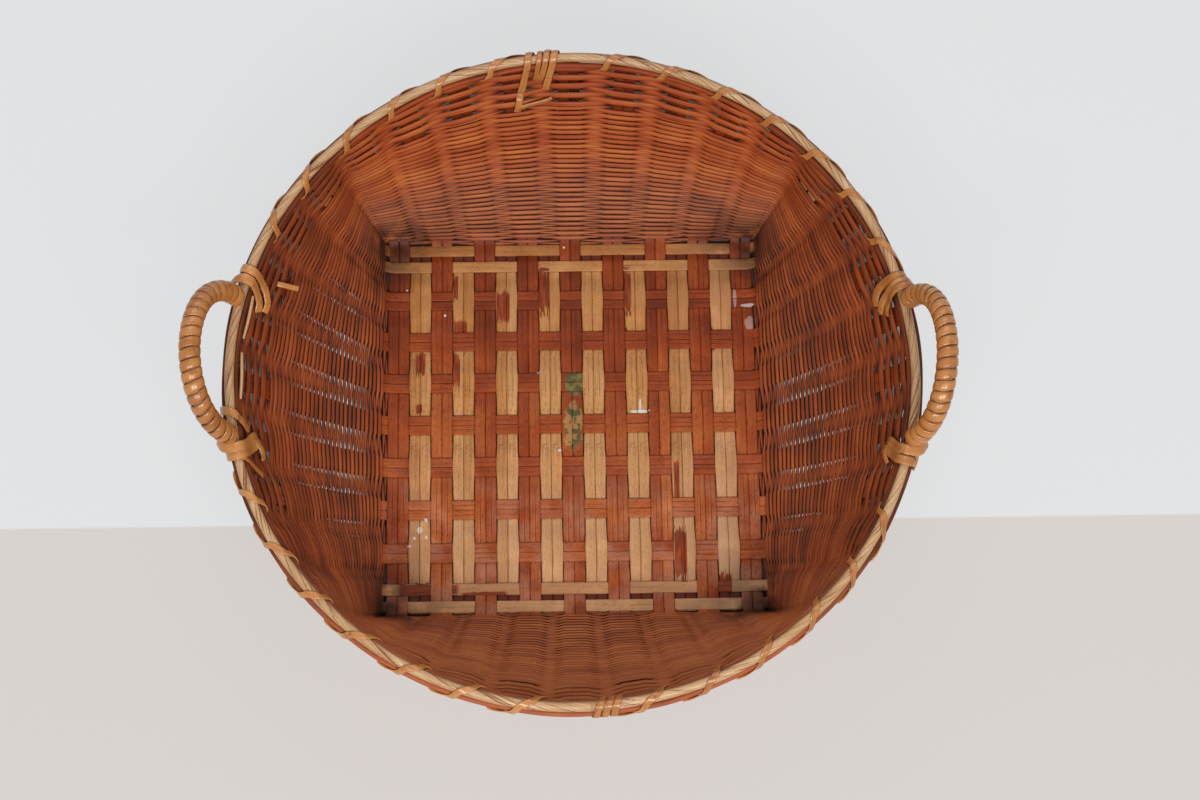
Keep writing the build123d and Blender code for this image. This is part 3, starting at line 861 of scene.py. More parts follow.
def crossing_line(column):
    """Places that a front-to-back strip crosses, from near to far: middle, half width and over."""
    base = bpy.context.scene.basket_base
    dark = column % 2 == 0
    middle, over = over_rows(dark)
    half = np.full(len(middle), base.cross_width + base.pair_gap / 2)
    inner_over = dark and column % 4 == 2
    outer_over = dark and not inner_over
    ends = np.array([base.inner_border, base.outer_border])
    end_over = np.array([inner_over, outer_over])
    middle = np.concatenate([-ends[::-1], middle, ends])
    half = np.concatenate([np.full(2, base.border_width / 2), half, np.full(2, base.border_width / 2)])
    return middle, half, np.concatenate([end_over[::-1], over, end_over])


def column_height(column, y):
    """Height of a front-to-back strip's middle above the floor at each y.

    It is level where it crosses another strip and goes by a smooth step from one level to the
    next between them. Over a strip it also bows up by a squared cosine.
    """
    base = bpy.context.scene.basket_base
    middle, half, over = crossing_line(column)
    margin = 0.3 * MM
    knots = np.stack([middle - half - margin, middle + half + margin], 1).ravel()
    level = np.repeat(np.where(over, 2.0 * layer_step(), 0.0), 2)
    place = np.clip(np.searchsorted(knots, y) - 1, 0, len(knots) - 2)
    part = (y - knots[place]) / (knots[place + 1] - knots[place])
    height = level[place] + (level[place + 1] - level[place]) * smooth(part)
    nearest = np.abs(y[:, None] - middle[None]).argmin(1)
    distance = (y - middle[nearest]) / (base.cross_pitch / 2)
    bow = base.bow * np.cos(np.clip(distance, -1, 1) * pi / 2) ** 2 * over[nearest]
    inside = np.abs(y) < base.inner_border - base.border_width
    return height + base.strip_thickness / 2 + bow * inside


def turned_up(base_line, base_across, one_wall, other_wall):
    """A strip's whole line: down one wall, through the base and up the other, eased at its elbows.

    Each wall is its points and its travel directions from foot to top.
    """
    centre = np.concatenate([one_wall[0][::-1], base_line, other_wall[0]])
    across = np.concatenate([one_wall[1][::-1], base_across, other_wall[1]])
    centre, across = softened(centre, 3), softened(across, 3)
    return centre, np.cross(across, np.gradient(centre, axis=0))


LONG_STEPS, SIDE_STEPS = 150, 110       # points along a front-to-back and a side-to-side strip
WALL_STEPS = 40
WALL_FROM = 0.02                # share of the wall's height where a turned-up strip joins it
COVERED_FROM = 4 * MM           # height where the rods begin to cover a stake
COVERED_REACH = 4 * MM          # how much higher it is covered all over
# How much painted shade darkens a stake where rods cover it.
COVERED_DARKER = 0.6
STRIP_END = 0.3 * MM            # how far the level part of a strip passes the base's edge
STRIP_TONES = (0.15, 0.85)      # the darkest and the lightest tone that a strip is given


def flat_strip(centre, up, half_width, tone):
    """A flat strip with rounded edges along a line."""
    half_height = bpy.context.scene.basket_base.strip_thickness / 2
    return swept(centre[None], up[None], half_width, half_height, sides=12, power=3.6, tone=tone)


def stake_wall(index, side_foot, side_top, sign):
    """One strip of a stake from foot to top, as points and directions across the strip."""
    share = np.linspace(WALL_FROM, 1.0, WALL_STEPS)
    index = np.full(WALL_STEPS, index)
    point, travel, _ = wall_point(index, side_foot, side_top, share, np.zeros(WALL_STEPS))
    return point, travel * sign


def wall_tone(tone, centre):
    """A strip's tone, lowered up the wall where rods cover it, as painted shade."""
    covered = smooth((centre[:, 2] - COVERED_FROM) / COVERED_REACH)
    return lambda c, s: (tone - COVERED_DARKER * covered)[None, :, None]


def dark_pair(place, rng):
    """Two dark strips of a front-to-back pair, with the wall at both ends."""
    base = bpy.context.scene.basket_base
    end = base_edges()[1] + STRIP_END
    y = np.linspace(-end, end, LONG_STEPS)
    height = column_height(2 * place, y)
    pitch = 2 * column_step()
    sweeps = []
    for side in (-1, 1):
        offset = side * (base.strip_width + base.pair_gap) / 2
        line = np.stack([np.full_like(y, place * pitch + offset), y, height], -1)
        across = np.broadcast_to([1.0, 0.0, 0.0], line.shape)
        near = stake_wall(3 * STAKES // 4 + place, offset, offset, 1)
        far = stake_wall(STAKES // 4 - place, -offset, -offset, -1)
        centre, up = turned_up(line, across, near, far)
        width = base.strip_width / 2 * (1 + 0.02 * slow_noise(rng, 1, len(centre), (3, 14), False))
        sweeps.append(flat_strip(centre, up, width, wall_tone(rng.uniform(*STRIP_TONES), centre)))
    return sweeps


def light_pair(place, rng):
    """Two light strips of the base, wider between crossings and tucked under the borders."""
    base = bpy.context.scene.basket_base
    end = base_edges()[1] + STRIP_END
    y = np.linspace(-end, end, LONG_STEPS)
    column = 2 * place + 1
    height = column_height(column, y)
    middle, _, over = crossing_line(column)
    nearest = np.abs(y[:, None] - middle[None]).argmin(1)
    distance = np.clip((y - middle[nearest]) / base.cross_pitch, -0.5, 0.5)
    barrel = 1 + base.barrel * np.where(over[nearest], np.cos(distance * 2 * pi) * 0.5, -0.5)
    sweeps = []
    for side in (-1, 1):
        offset = side * (base.strip_width + base.pair_gap) / 2
        line = np.stack([column * column_step() + offset * barrel, y, height], -1)
        width = base.strip_width / 2 * barrel
        width = width * (1 + 0.015 * slow_noise(rng, 1, len(y), (3, 12), False))
        up = np.broadcast_to([0.0, 0.0, 1.0], line.shape)
        sweeps.append(flat_strip(line, up, width, rng.uniform(*STRIP_TONES)))
    return sweeps


def side_strip(row, middle, foot_offset, top_offset, width, rng):
    """One side-to-side strip: down the left wall, level through the base, up the right wall."""
    base = bpy.context.scene.basket_base
    end = base_edges()[0] + STRIP_END
    x = np.linspace(-end, end, SIDE_STEPS)
    height = layer_step() + base.strip_thickness / 2
    line = np.stack([x, np.full_like(x, middle + foot_offset), np.full_like(x, height)], -1)
    across = np.broadcast_to([0.0, -1.0, 0.0], line.shape)
    left = stake_wall(STAKES // 2 - row, -foot_offset, -top_offset, 1)
    right = stake_wall(row % STAKES, foot_offset, top_offset, -1)
    centre, up = turned_up(line, across, left, right)
    half = width / 2 * (1 + 0.02 * slow_noise(rng, 1, len(centre), (3, 14), False))
    return flat_strip(centre, up, half, wall_tone(rng.uniform(*STRIP_TONES), centre))


class BASKET_OT_front_to_back(Operator):
    """Dark and light pairs that run from the near side to the far side"""

    bl_idname = "basket.front_to_back"
    bl_label = "Front-to-back strips"

    def execute(self, context):
        rng = np.random.default_rng(11)
        first = -HALF_COLUMNS // 2
        for number, place in enumerate(range(first, 1 - first), 1):
            make_piece(
                f"dark_pair_{number}", dark_pair(place, rng), material(stained_split_material),
                [f"dark_stake_pair_{number}"],
            )
        for number, place in enumerate(range(first, -first), 1):
            make_piece(
                f"light_pair_{number}", light_pair(place, rng), material(natural_split_material),
                [f"light_base_pair_{number}"],
            )
        return {"FINISHED"}


class BASKET_OT_side_to_side(Operator):
    """Dark pairs and light border strips that run from the left side to the right side"""

    bl_idname = "basket.side_to_side"
    bl_label = "Side-to-side strips"

    def execute(self, context):
        rng = np.random.default_rng(12)
        base = context.scene.basket_base
        for row in range(1 - HALF_ROWS, HALF_ROWS):
            offset = (base.cross_width + base.pair_gap) / 2
            sweeps = [
                side_strip(row, row * base.cross_pitch, side * offset, side * offset, base.cross_width, rng)
                for side in (-1, 1)
            ]
            make_piece(
                f"cross_pair_{row + HALF_ROWS}", sweeps, material(stained_split_material),
                [f"cross_stake_pair_{row + HALF_ROWS}"],
            )
        foot = (base.outer_border - base.inner_border) / 2
        top = (base.border_width + base.pair_gap) / 2
        middle = (base.outer_border + base.inner_border) / 2
        for end, way in (("near", -1), ("far", 1)):
            for name, side in (("inner", -way), ("outer", way)):
                strip = side_strip(
                    way * HALF_ROWS, way * middle, side * foot, side * top, base.border_width, rng
                )
                make_piece(
                    f"{end}_{name}_border", [strip], material(natural_split_material),
                    [f"{end}_{name}_border_strip"],
                )
        return {"FINISHED"}


# ---- wall ----------------------------------------------------------------------------------
CREASE_SHARES = np.array([-0.026, -0.012])      # rows that close the crease between wall and base
# Rods' widths by share of the wall's height: on the stakes, and side by side between them.
LOOSE_ROWS = ((0.0, 0.05, 0.3, 0.6), (1.0, 0.88, 0.95, 1.02))
SIDE_BY_SIDE = ((0.0, 0.3, 0.5, 0.75), (0.46, 0.56, 0.68, 0.80))
# How much painted shade darkens rows along their upper edges, by the same shares.
UPPER_EDGE_SHADE = ((0.0, 0.2, 0.45), (0.7, 0.6, 0.0))
ROD_PLAY = 0.2 * MM             # between a rod and a stake's face


class BASKET_OT_fine_rods(Operator):
    """Fine rods woven over and under the stakes, one row on the other"""

    bl_idname = "basket.fine_rods"
    bl_label = "Fine rods"

    def execute(self, context):
        rng = np.random.default_rng(21)
        base, wall = context.scene.basket_base, context.scene.basket_wall
        shares = np.concatenate([CREASE_SHARES, shares_by_length(FINE_FOOT_Z, FINE_TOP_Z, wall.fine_rows)])
        rows = len(shares)
        common = slow_noise(rng, 1, RING_STEPS, (2, 9)) * wall.waver
        drift = np.cumsum(slow_noise(rng, rows, RING_STEPS, (3, 22)), 0) / sqrt(rows)
        ripple = 0.07 * MM * slow_noise(rng, rows, RING_STEPS, (20, 60))
        wander = common + drift * wall.waver * 0.8 + ripple
        edge = np.minimum(np.arange(rows), np.arange(rows)[::-1]) / 8.0
        wander = wander * smooth(edge)[:, None]
        depth = base.strip_thickness / 2 + ROD_PLAY + wall.fine_depth / 2
        squeeze = np.interp(shares, [CREASE_SHARES[0], 0.01], [0.3, 1.0])
        centre, out, wave = woven_rings(shares, depth * squeeze[:, None], np.arange(rows), wander)
        centre[..., 2] = np.maximum(centre[..., 2], wall.fine_width / 2)
        held = np.abs(wave)
        thick = rng.uniform(0.92, 1.08, (rows, 1)) * np.interp(shares, *LOOSE_ROWS)[:, None]
        uneven = np.repeat(rng.uniform(-0.07, 0.07, (rows, STAKES)), RING_STEPS // STAKES, 1)
        side = np.interp(shares, *SIDE_BY_SIDE)[:, None] + uneven
        width = wall.fine_width / 2 * thick * (side + (1 - side) * held)
        centre, out, width, wave = cut_at_random(rng, centre, out, width, wave)
        tone = rng.uniform(0.2, 0.8, rows)
        # Painted shade along each row's upper edge.
        upper_edge_shade = np.interp(shares, *UPPER_EDGE_SHADE)
        for start, name, node in ((0, "even", "fine_weave_inside"), (1, "odd", "fine_weave_outside")):
            mine = slice(start, None, 2)
            rods = swept(
                centre[mine], out[mine], width[mine], wall.fine_depth / 2, sides=8, power=2.2,
                closed=True, tone=crevice_tone(tone[mine], wave[mine], upper_edge_shade[mine]),
            )
            make_piece(
                f"fine_rods_{name}", [rods], material(stained_rod_material), [node]
            )
        return {"FINISHED"}


class BASKET_OT_coarse_rods(Operator):
    """Nine thicker rods woven above the fine ones"""

    bl_idname = "basket.coarse_rods"
    bl_label = "Coarse rods"

    def execute(self, context):
        rng = np.random.default_rng(22)
        base, wall = context.scene.basket_base, context.scene.basket_wall
        depth = base.strip_thickness / 2 + ROD_PLAY + wall.coarse_depth / 2
        for row, height in enumerate(COARSE_Z):
            share = np.array([(height - FINE_FOOT_Z) / (STAKE_TOP_Z - FINE_FOOT_Z)])
            wander = slow_noise(rng, 1, RING_STEPS, (4, 30)) * 0.6 * MM
            centre, out, wave = woven_rings(share, depth, np.array([row]), wander)
            width = wall.coarse_width / 2 * (1 + 0.07 * slow_noise(rng, 1, RING_STEPS, (6, 30)))
            width = width * (0.84 + 0.16 * np.abs(wave))
            centre, out, width, wave = cut_at_random(rng, centre, out, width, wave)
            rod = swept(
                centre, out, width, wall.coarse_depth / 2, sides=12, power=2.3, closed=True,
                tone=crevice_tone(rng.uniform(0.1, 0.6), wave),
            )
            make_piece(
                f"coarse_rod_{row + 1}", [rod], material(stained_rod_material),
                [f"coarse_weaver_{row + 1}"],
            )
        return {"FINISHED"}


# ---- rim -----------------------------------------------------------------------------------
def ring_line(radius, height, start, radial_waver, level_waver):
    """A circle round the basket, with small changes of radius and height, from a start angle."""
    angle = start + np.linspace(0, 2 * pi, RIM_STEPS, endpoint=False)
    radius = radius + radial_waver
    return np.stack([radius * np.cos(angle), radius * np.sin(angle), height + level_waver], -1)


RIM_STEPS = 360
CANE_PLAY = 0.15 * MM           # between a cane and what it binds
RIM_START = radians(-87)        # where the rim rod begins and ends, round the basket
HOOP_START = RIM_START + 1.0    # the same for both hoops
LOOSE_ENDS_DEG = ((165.5, 173.5), (176.0, 184.5))       # ends of rod left inside the inner hoop
LOOSE_END_STEPS = 40
LOOSE_END_RADIUS = 1.2 * MM
LOOSE_END_INSIDE = 3.2 * MM     # from the inner hoop's middle line, inwards, at both ends
LOOSE_END_BOW = 0.8 * MM        # how much further inside their middles are
LOOSE_END_LIFT = 1.0 * MM       # above the hoop's middle line


def wavering(rng, waves, reach):
    """A small random waver of a ring of the rim, of about a reach in millimetres either way."""
    return slow_noise(rng, 1, RIM_STEPS, waves)[0] * reach * MM


def loose_end(first, last):
    """A short end of rod beside the inner hoop, thickest in its middle, between two angles."""
    part = np.linspace(0, 1, LOOSE_END_STEPS)
    angle = radians(first) + radians(last - first) * part
    bulge = np.sin(pi * part)
    ring = INNER_RING - LOOSE_END_INSIDE - LOOSE_END_BOW * bulge
    height = np.full(LOOSE_END_STEPS, HOOP_Z + LOOSE_END_LIFT)
    line = np.stack([ring * np.cos(angle), ring * np.sin(angle), height], -1)
    up = np.broadcast_to([0.0, 0.0, 1.0], line.shape)
    radius = LOOSE_END_RADIUS * (0.6 + 0.4 * bulge ** 0.5)
    return swept(line[None], up[None], radius, radius, sides=10)


class BASKET_OT_rim_rods(Operator):
    """The thick twisted rod on top of the rim, and the dyed hoops inside and outside it"""

    bl_idname = "basket.rim_rods"
    bl_label = "Rim rod and hoops"

    def execute(self, context):
        rng = np.random.default_rng(31)
        line = ring_line(
            RIM_RING, RIM_Z, RIM_START, wavering(rng, (3, 12), 0.35), wavering(rng, (3, 12), 0.25)
        )
        up = np.broadcast_to([0.0, 0.0, 1.0], line.shape)
        thick = RIM_ROD * (1 + 0.05 * slow_noise(rng, 1, RIM_STEPS, (5, 24)))
        rods = [swept(line[None], up[None], thick, thick, sides=18, closed=True, twist=95.0)]
        rods += [loose_end(first, last) for first, last in LOOSE_ENDS_DEG]
        make_piece("twisted_rim_rod", rods, material(natural_rod_material), ["rim_rod"])
        for name, ring in (("inner", INNER_RING), ("outer", OUTER_RING)):
            line = ring_line(
                ring, HOOP_Z, HOOP_START, wavering(rng, (6, 24), 0.2), wavering(rng, (6, 24), 0.35)
            )
            hoop = swept(
                line[None], up[None], HOOP_ROD, HOOP_ROD, sides=12, power=2.3, closed=True, tone=0.05
            )
            make_piece(
                f"{name}_hoop", [hoop], material(stained_rod_material),
                [f"rim_{name}_hoop"],
            )
        return {"FINISHED"}


def bundle_outline(turn, clearance):
    """Where a tight loop round the rim's rod and hoops lies, for directions in the upright plane.

    For each direction it is the far side, that way, of whichever circle reaches furthest.
    """
    circles = np.array([
        (RIM_RING, RIM_Z, RIM_ROD), (INNER_RING, HOOP_Z, HOOP_ROD), (OUTER_RING, HOOP_Z, HOOP_ROD),
    ])
    way = np.stack([np.cos(turn), np.sin(turn)], -1)
    reach = way @ circles[:, :2].T + circles[:, 2]
    furthest = circles[reach.argmax(-1)]
    return furthest[:, :2] + way * (furthest[:, 2:] + clearance), way


def wound_cane(first_angle, turns, advance, rng, thickness, hook=0.45, jitter=0.0, slant=0.0):
    """A cane wound round the rim: up the inside, over the top, down the outside and through.

    The angle round the basket falls by advance each turn, by hook u + (1 - hook) u^3 of it, where
    u is the part of the turn since the underside, so that most of it is passed outside. It also
    falls by slant times the way out, as a share of the rim's radius.
    """
    steps = 28
    part = np.arange(turns * steps + 1) / steps
    u = part % 1.0
    spot, way = bundle_outline(-pi / 2 - 2 * pi * u, CANE_PLAY + thickness / 2)
    gone = np.floor(part) + hook * u + (1 - hook) * u ** 3
    stray = np.interp(part, np.arange(turns + 2), rng.uniform(-1, 1, turns + 2)) * jitter
    angle = first_angle - advance * gone + stray - slant * (spot[:, 0] - RIM_RING) / RIM_RING
    centre = np.stack([spot[:, 0] * np.cos(angle), spot[:, 0] * np.sin(angle), spot[:, 1]], -1)
    up = np.stack([way[:, 0] * np.cos(angle), way[:, 0] * np.sin(angle), way[:, 1]], -1)
    return softened(centre, 1), up


def cane_sweep(centre, up, width, thickness, rng, sides=10, power=3.0, tone=None):
    """A flat cane along a line, a little uneven in width."""
    half = width / 2 * (1 + 0.05 * slow_noise(rng, 1, len(centre), (4, 20), False))
    tone = rng.uniform(0.2, 0.9) if tone is None else tone
    return swept(centre[None], up[None], half, thickness / 2, sides=sides, power=power, tone=tone)


STITCH_RUNS_DEG = ((155, 6), (85, 7), (-25, 6), (-95, 7))       # where a cane begins, and its turns
FAR_BINDING_DEG, NEAR_BINDING_DEG = 95, -85


class BASKET_OT_stitching(Operator):
    """Cane wound round the rim, once in each gap, with a tight binding at the far and near sides"""

    bl_idname = "basket.stitching"
    bl_label = "Rim stitching"

    def execute(self, context):
        rng = np.random.default_rng(32)
        rim = context.scene.basket_rim
        sweeps = []
        for first, turns in STITCH_RUNS_DEG:
            centre, up = wound_cane(
                radians(first), turns, STAKE_STEP, rng, rim.cane_thickness, jitter=radians(0.8)
            )
            sweeps.append(cane_sweep(centre, up, rim.cane_width, rim.cane_thickness, rng))
        make_piece("rim_cane", sweeps, material(cane_material), ["rim_stitches"])
        step = (rim.cane_width + 0.3 * MM) / INNER_RING
        near_start = radians(NEAR_BINDING_DEG) + step * rim.near_turns / 2
        centre, up = wound_cane(
            near_start, rim.near_turns, step, rng, rim.cane_thickness,
            hook=1.0, jitter=radians(0.25), slant=0.25,
        )
        near = [cane_sweep(centre, up, rim.cane_width, rim.cane_thickness, rng)]
        far = rim_canes(radians(FAR_BINDING_DEG), 1, FAR_BINDING_MM, rng)
        for name, bound in (("far", far), ("near", near)):
            make_piece(
                f"{name}_binding", bound, material(cane_material),
                [f"{name}_rim_binding"],
            )
        return {"FINISHED"}


# ---- handles -------------------------------------------------------------------------------
def handle_axes(side):
    """A handle's own origin, its way along the rim, its way up the lean, and its way out."""
    handle = bpy.context.scene.basket_handle
    outward = side * np.array([cos(handle.turn), sin(handle.turn), 0.0])
    rim_way = np.array([-outward[1], outward[0], 0.0])
    origin = RIM_RING * cos(handle.foot_angle) * outward + (0.0, 0.0, RIM_Z)
    lean = handle.right_lean if side > 0 else handle.left_lean
    up = sin(lean) * outward + (0.0, 0.0, cos(lean))
    return origin, rim_way, up, np.cross(rim_way, up)


def handle_line(side, start, steps):
    """Middle line of a bail, evenly spaced: two straight legs and a three-centred arch.

    The arch has two tighter arcs, of the shoulder angle each, and a wider crown that meets them
    with no kink.
    """
    handle = bpy.context.scene.basket_handle
    span = RIM_RING * sin(handle.foot_angle)
    turn = handle.shoulder
    spread = (1 - sin(turn)) / cos(turn)
    tight = (handle.rise - handle.leg - span * spread) / (1 - spread)
    wide = tight + (span - tight) / cos(turn)
    shoulder = np.linspace(pi, pi - turn, 40)
    crown = np.linspace(pi - turn, turn, 40)
    arcs = [
        np.array([[-span, start], [-span, handle.leg]]),
        np.stack([tight - span + tight * np.cos(shoulder), handle.leg + tight * np.sin(shoulder)], -1),
        np.stack([wide * np.cos(crown), handle.rise - wide + wide * np.sin(crown)], -1),
        np.stack([
            span - tight - tight * np.cos(shoulder), handle.leg + tight * np.sin(shoulder)
        ], -1)[::-1],
        np.array([[span, handle.leg], [span, start]]),
    ]
    flat = np.concatenate(arcs)
    run = np.concatenate([[0], np.cumsum(np.linalg.norm(np.diff(flat, axis=0), axis=1))])
    even = np.linspace(0, run[-1], steps)
    flat = np.stack([np.interp(even, run, flat[:, axis]) for axis in (0, 1)], -1)
    origin, rim_way, up, _ = handle_axes(side)
    return origin + flat[:, :1] * rim_way + flat[:, 1:] * up


TURN_STEPS = 26                 # points in one turn of cane round a handle
WINDING_TONE = {-1: 0.42, 1: 0.6}       # how light the left and the right winding are
TURN_UNEVEN, EDGE_DARKER = 0.32, 0.6    # how much turns differ, and how much painted shade darkens the edges
WINDING_FROM = 1.5 * MM         # where the winding begins, above the top of the rim rod
LAP_LEAN = 0.05                 # how far each turn's face leans towards the next


def turn_tone(rng, tone, turns):
    """A shade that changes a little from turn to turn, with painted shade along the cane's edges, in the
    grooves between turns.
    """
    ends = tone + rng.uniform(-TURN_UNEVEN, TURN_UNEVEN, turns + 1)
    own = np.interp(np.arange(turns * TURN_STEPS + 1) / TURN_STEPS, np.arange(turns + 1), ends)
    return lambda c, s: own[None, :, None] - EDGE_DARKER * np.abs(c) ** 4


def wound_handle(side, rng):
    """Flat cane wound round a bail, each turn lapping the last like a shingle."""
    handle = bpy.context.scene.basket_handle
    steps = handle.turns * TURN_STEPS + 1
    start = RIM_ROD + WINDING_FROM
    core = softened(handle_line(side, start, steps), 4)
    ahead = unit(np.gradient(core, axis=0))
    out = np.broadcast_to(handle_axes(side)[3], core.shape)
    beside = np.cross(ahead, out)
    turn = 2 * pi * np.arange(steps) / TURN_STEPS
    radial = out * np.cos(turn)[:, None] + beside * np.sin(turn)[:, None]
    radius = handle.core + CANE_PLAY + 0.3 * handle.cane
    centre = core + radial * radius
    pitch = np.linalg.norm(np.diff(core, axis=0), axis=1).sum() / handle.turns
    lapped = radial + ahead * LAP_LEAN
    tone = turn_tone(rng, WINDING_TONE[side], handle.turns)
    return cane_sweep(centre, lapped, pitch, handle.cane, rng, sides=12, power=2.3, tone=tone)


class BASKET_OT_handles(Operator):
    """The two bails: a rod wound with flat cane"""

    bl_idname = "basket.handles"
    bl_label = "Wound handles"

    def execute(self, context):
        rng = np.random.default_rng(41)
        for name, side in (("left", -1), ("right", 1)):
            make_piece(
                f"{name}_winding", [wound_handle(side, rng)], material(cane_material),
                [f"{name}_handle_wrap"],
            )
            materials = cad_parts[f"{name}_handle_core"].data.materials
            materials.clear()
            materials.append(material(natural_rod_material))
        return {"FINISHED"}


# A cane's middle line over the rim, as outwards and up from the rim rod's middle, in millimetres:
# from under the outer hoop, over the rod, over the inner hoop and down the inner face.
OVER_RIM_MM = (
    (0.9, -10.0), (2.6, -8.3), (5.4, -6.2), (6.2, -3.8), (5.3, -0.8), (3.3, 2.4), (0.0, 4.0),
    (-3.0, 2.7), (-5.0, -0.4), (-6.4, -4.2), (-8.4, -10.0), (-11.4, -15.0), (-14.5, -20.0),
    (-17.6, -25.0), (-20.7, -30.0), (-23.8, -35.0),
)

LAID_CANE = 1.3 * MM            # thickness of the canes below
# Canes laid over the rim, in millimetres: points by their distance along the rim, their run over
# the rim from its top, inwards, and their lift off it, then the cane's width. At the handles' feet
# the distance is away from the handle's middle.
FAR_BINDING_MM = (
    (((5.0, -13, 0.2), (6.4, -6, 0.2), (7.9, 0, 0.3), (10.2, 11, 0.3), (12.6, 20, 0.5), (14.6, 26, 0.0),
      (15.6, 29.5, -1.6), (16.8, 33, 0.6), (18.2, 38, 0.4), (19.5, 43, -1.4)), 4.8),
    (((-1.6, -13, 0.2), (-0.6, -6, 0.2), (0.4, 0, 0.3), (2.2, 9, 0.3), (3.4, 16, 0.1),
      (4.2, 20, -1.6)), 3.6),
    (((-6.6, -13, 0.6), (-5.4, -6, 0.8), (-4.2, 0, 0.9), (-2.0, 9, 0.8), (-0.4, 16, 0.5),
      (0.6, 20.5, -1.6)), 4.0),
    (((-11.4, -13, 0.2), (-10.2, -6, 0.2), (-9.2, 0, 0.3), (-6.8, 11, 0.4), (-4.2, 21, 0.4),
      (-2.4, 28, -1.6)), 4.8),
    (((20.2, 39.6, -1.2), (17.0, 38.8, 0.5), (8.0, 37.4, 0.8), (-1.0, 36.0, 0.6), (-6.6, 35.0, -1.0)), 2.9),
)
FOOT_CANES_MM = {
    ("left", "far"): (
        (((21, -14, 0), (20, -8, 0.3), (19.2, 0, 0.4), (19.0, 7, 0.3), (17.6, 15, 0.2), (14.4, 21.5, 0.2),
          (9.8, 26, 0.2), (5.2, 28, 0.1), (0.8, 28.4, -1.2)), 5.8),
        (((24.4, 31, -1.2), (25.4, 34.5, 1.0), (27.0, 39.5, 2.6), (29.0, 45, 4.4)), 3.6),
        (((-1, -7, 5.6), (6, -6.5, 4.4), (11.2, -3.4, 2.2), (12.4, 1, 1.2), (11.2, 6.5, 0.9),
          (8.2, 14, 0.7), (4.2, 19.5, 0.5), (-1.6, 22.6, -1.2)), 6.6),
    ),
    ("right", "far"): (
        (((16, -14, 0), (16.6, -7, 0.3), (17.0, 0, 0.3), (18.2, 9, 0.2), (18.6, 18, 0.2),
          (16.8, 23.5, 0.2), (13.0, 27.6, 0.1), (8.8, 30, -1.2)), 6.2),
        (((8, -12, 2.5), (11.5, -6, 2.2), (12.4, 0, 1.6), (11.4, 7, 1.3), (10.0, 15, 1.1),
          (7.4, 22, 0.9), (3.2, 28.4, -1.0)), 6.0),
        (((-2, -7, 5.8), (4.5, -6, 5.4), (8.2, -1.5, 4.6), (7.8, 4.5, 2.8), (5.2, 13, 1.6),
          (2.0, 19, 1.2), (-1.2, 23, -1.0)), 4.4),
    ),
    ("left", "near"): (
        (((-20, -13, 0), (-18, -6, 0.3), (-15.5, 0, 0.4), (-12.2, 6, 0.4), (-9.6, 13, 0.3),
          (-7.4, 20, -1.0)), 5.6),
        (((1, -8, 5.4), (6.0, -5.5, 4.2), (8.6, -1, 2.2), (7.4, 5, 1.7), (3.6, 13, 1.2),
          (-0.8, 20, 1.2), (-3.8, 27, -1.0)), 6.8),
        (((9, -13, 0.4), (12.2, -6, 0.8), (13.6, 0, 1.0), (11.8, 7, 1.0), (7.4, 16, 0.6), (2.2, 25, 0.3),
          (-0.4, 29.5, -1.0)), 6.2),
        (((13.0, -3, 0.2), (15.2, 2.5, 0.3), (18.0, 10, 0.3), (21.5, 17.5, 0.3), (25.0, 23.5, -0.8)), 3.6),
        (((0.6, 21.5, 0.2), (4.4, 25.6, 1.3), (8.6, 28, 0.8), (13.0, 29.6, -1.0)), 4.8),
    ),
    ("right", "near"): (
        (((0, -8, 5.6), (5.4, -5.5, 4.4), (8.4, -1, 2.4), (7.2, 6, 1.8), (3.6, 14, 1.3), (-0.4, 21, 1.2),
          (-2.6, 26.5, -1.0)), 7.0),
        (((3, 30, -1.0), (4.2, 25.4, 0.6), (8.4, 16.5, 0.9), (13.0, 8, 1.2), (15.4, 0.8, 1.2),
          (13.8, -6, 0.9), (11.2, -13, 0)), 6.4),
        (((9.0, -1, 0.4), (11.2, 4, 0.2), (9.6, 10.5, 0.3), (5.0, 20, 0.2)), 5.2),
        (((8.2, -3.5, 3.0), (11.8, -7.5, 1.6), (16.4, -12.5, 0)), 4.6),
        (((3.8, 24.5, 1.4), (8.2, 24.6, 0.9), (14.2, 21.5, -0.6)), 3.0),
    ),
}


def curve_through(points, steps):
    """An open Catmull-Rom curve: on each span the cubic set by the span's ends and their neighbours."""
    points = np.concatenate([2 * points[:1] - points[1:2], points, 2 * points[-1:] - points[-2:-1]])
    place = np.linspace(0, len(points) - 3 - 1e-9, steps)
    here = place.astype(int)
    t = (place - here)[:, None]
    p0, p1, p2, p3 = (points[here + shift] for shift in range(4))
    return 0.5 * (
        2 * p1 + (p2 - p0) * t + (2 * p0 - 5 * p1 + 4 * p2 - p3) * t ** 2
        + (3 * p1 - p0 - 3 * p2 + p3) * t ** 3
    )


def over_rim(run, lift):
    """Places outwards and up from the rim rod's middle, and which way the cane faces there.

    run is the length over the rim from its top, inwards, and lift is square to it.
    """
    line = curve_through(np.array(OVER_RIM_MM) * MM, 301)
    length_so_far = np.concatenate([[0], np.cumsum(np.linalg.norm(np.diff(line, axis=0), axis=1))])
    top = np.argmax(line[:, 1])
    ahead = unit(np.gradient(line, axis=0))
    facing = np.stack([ahead[:, 1], -ahead[:, 0]], -1)
    sought = run + length_so_far[top]
    spot, way = (
        np.stack([np.interp(sought, length_so_far, part[:, axis]) for axis in (0, 1)], -1)
        for part in (line, facing)
    )
    return spot + way * lift[:, None], way


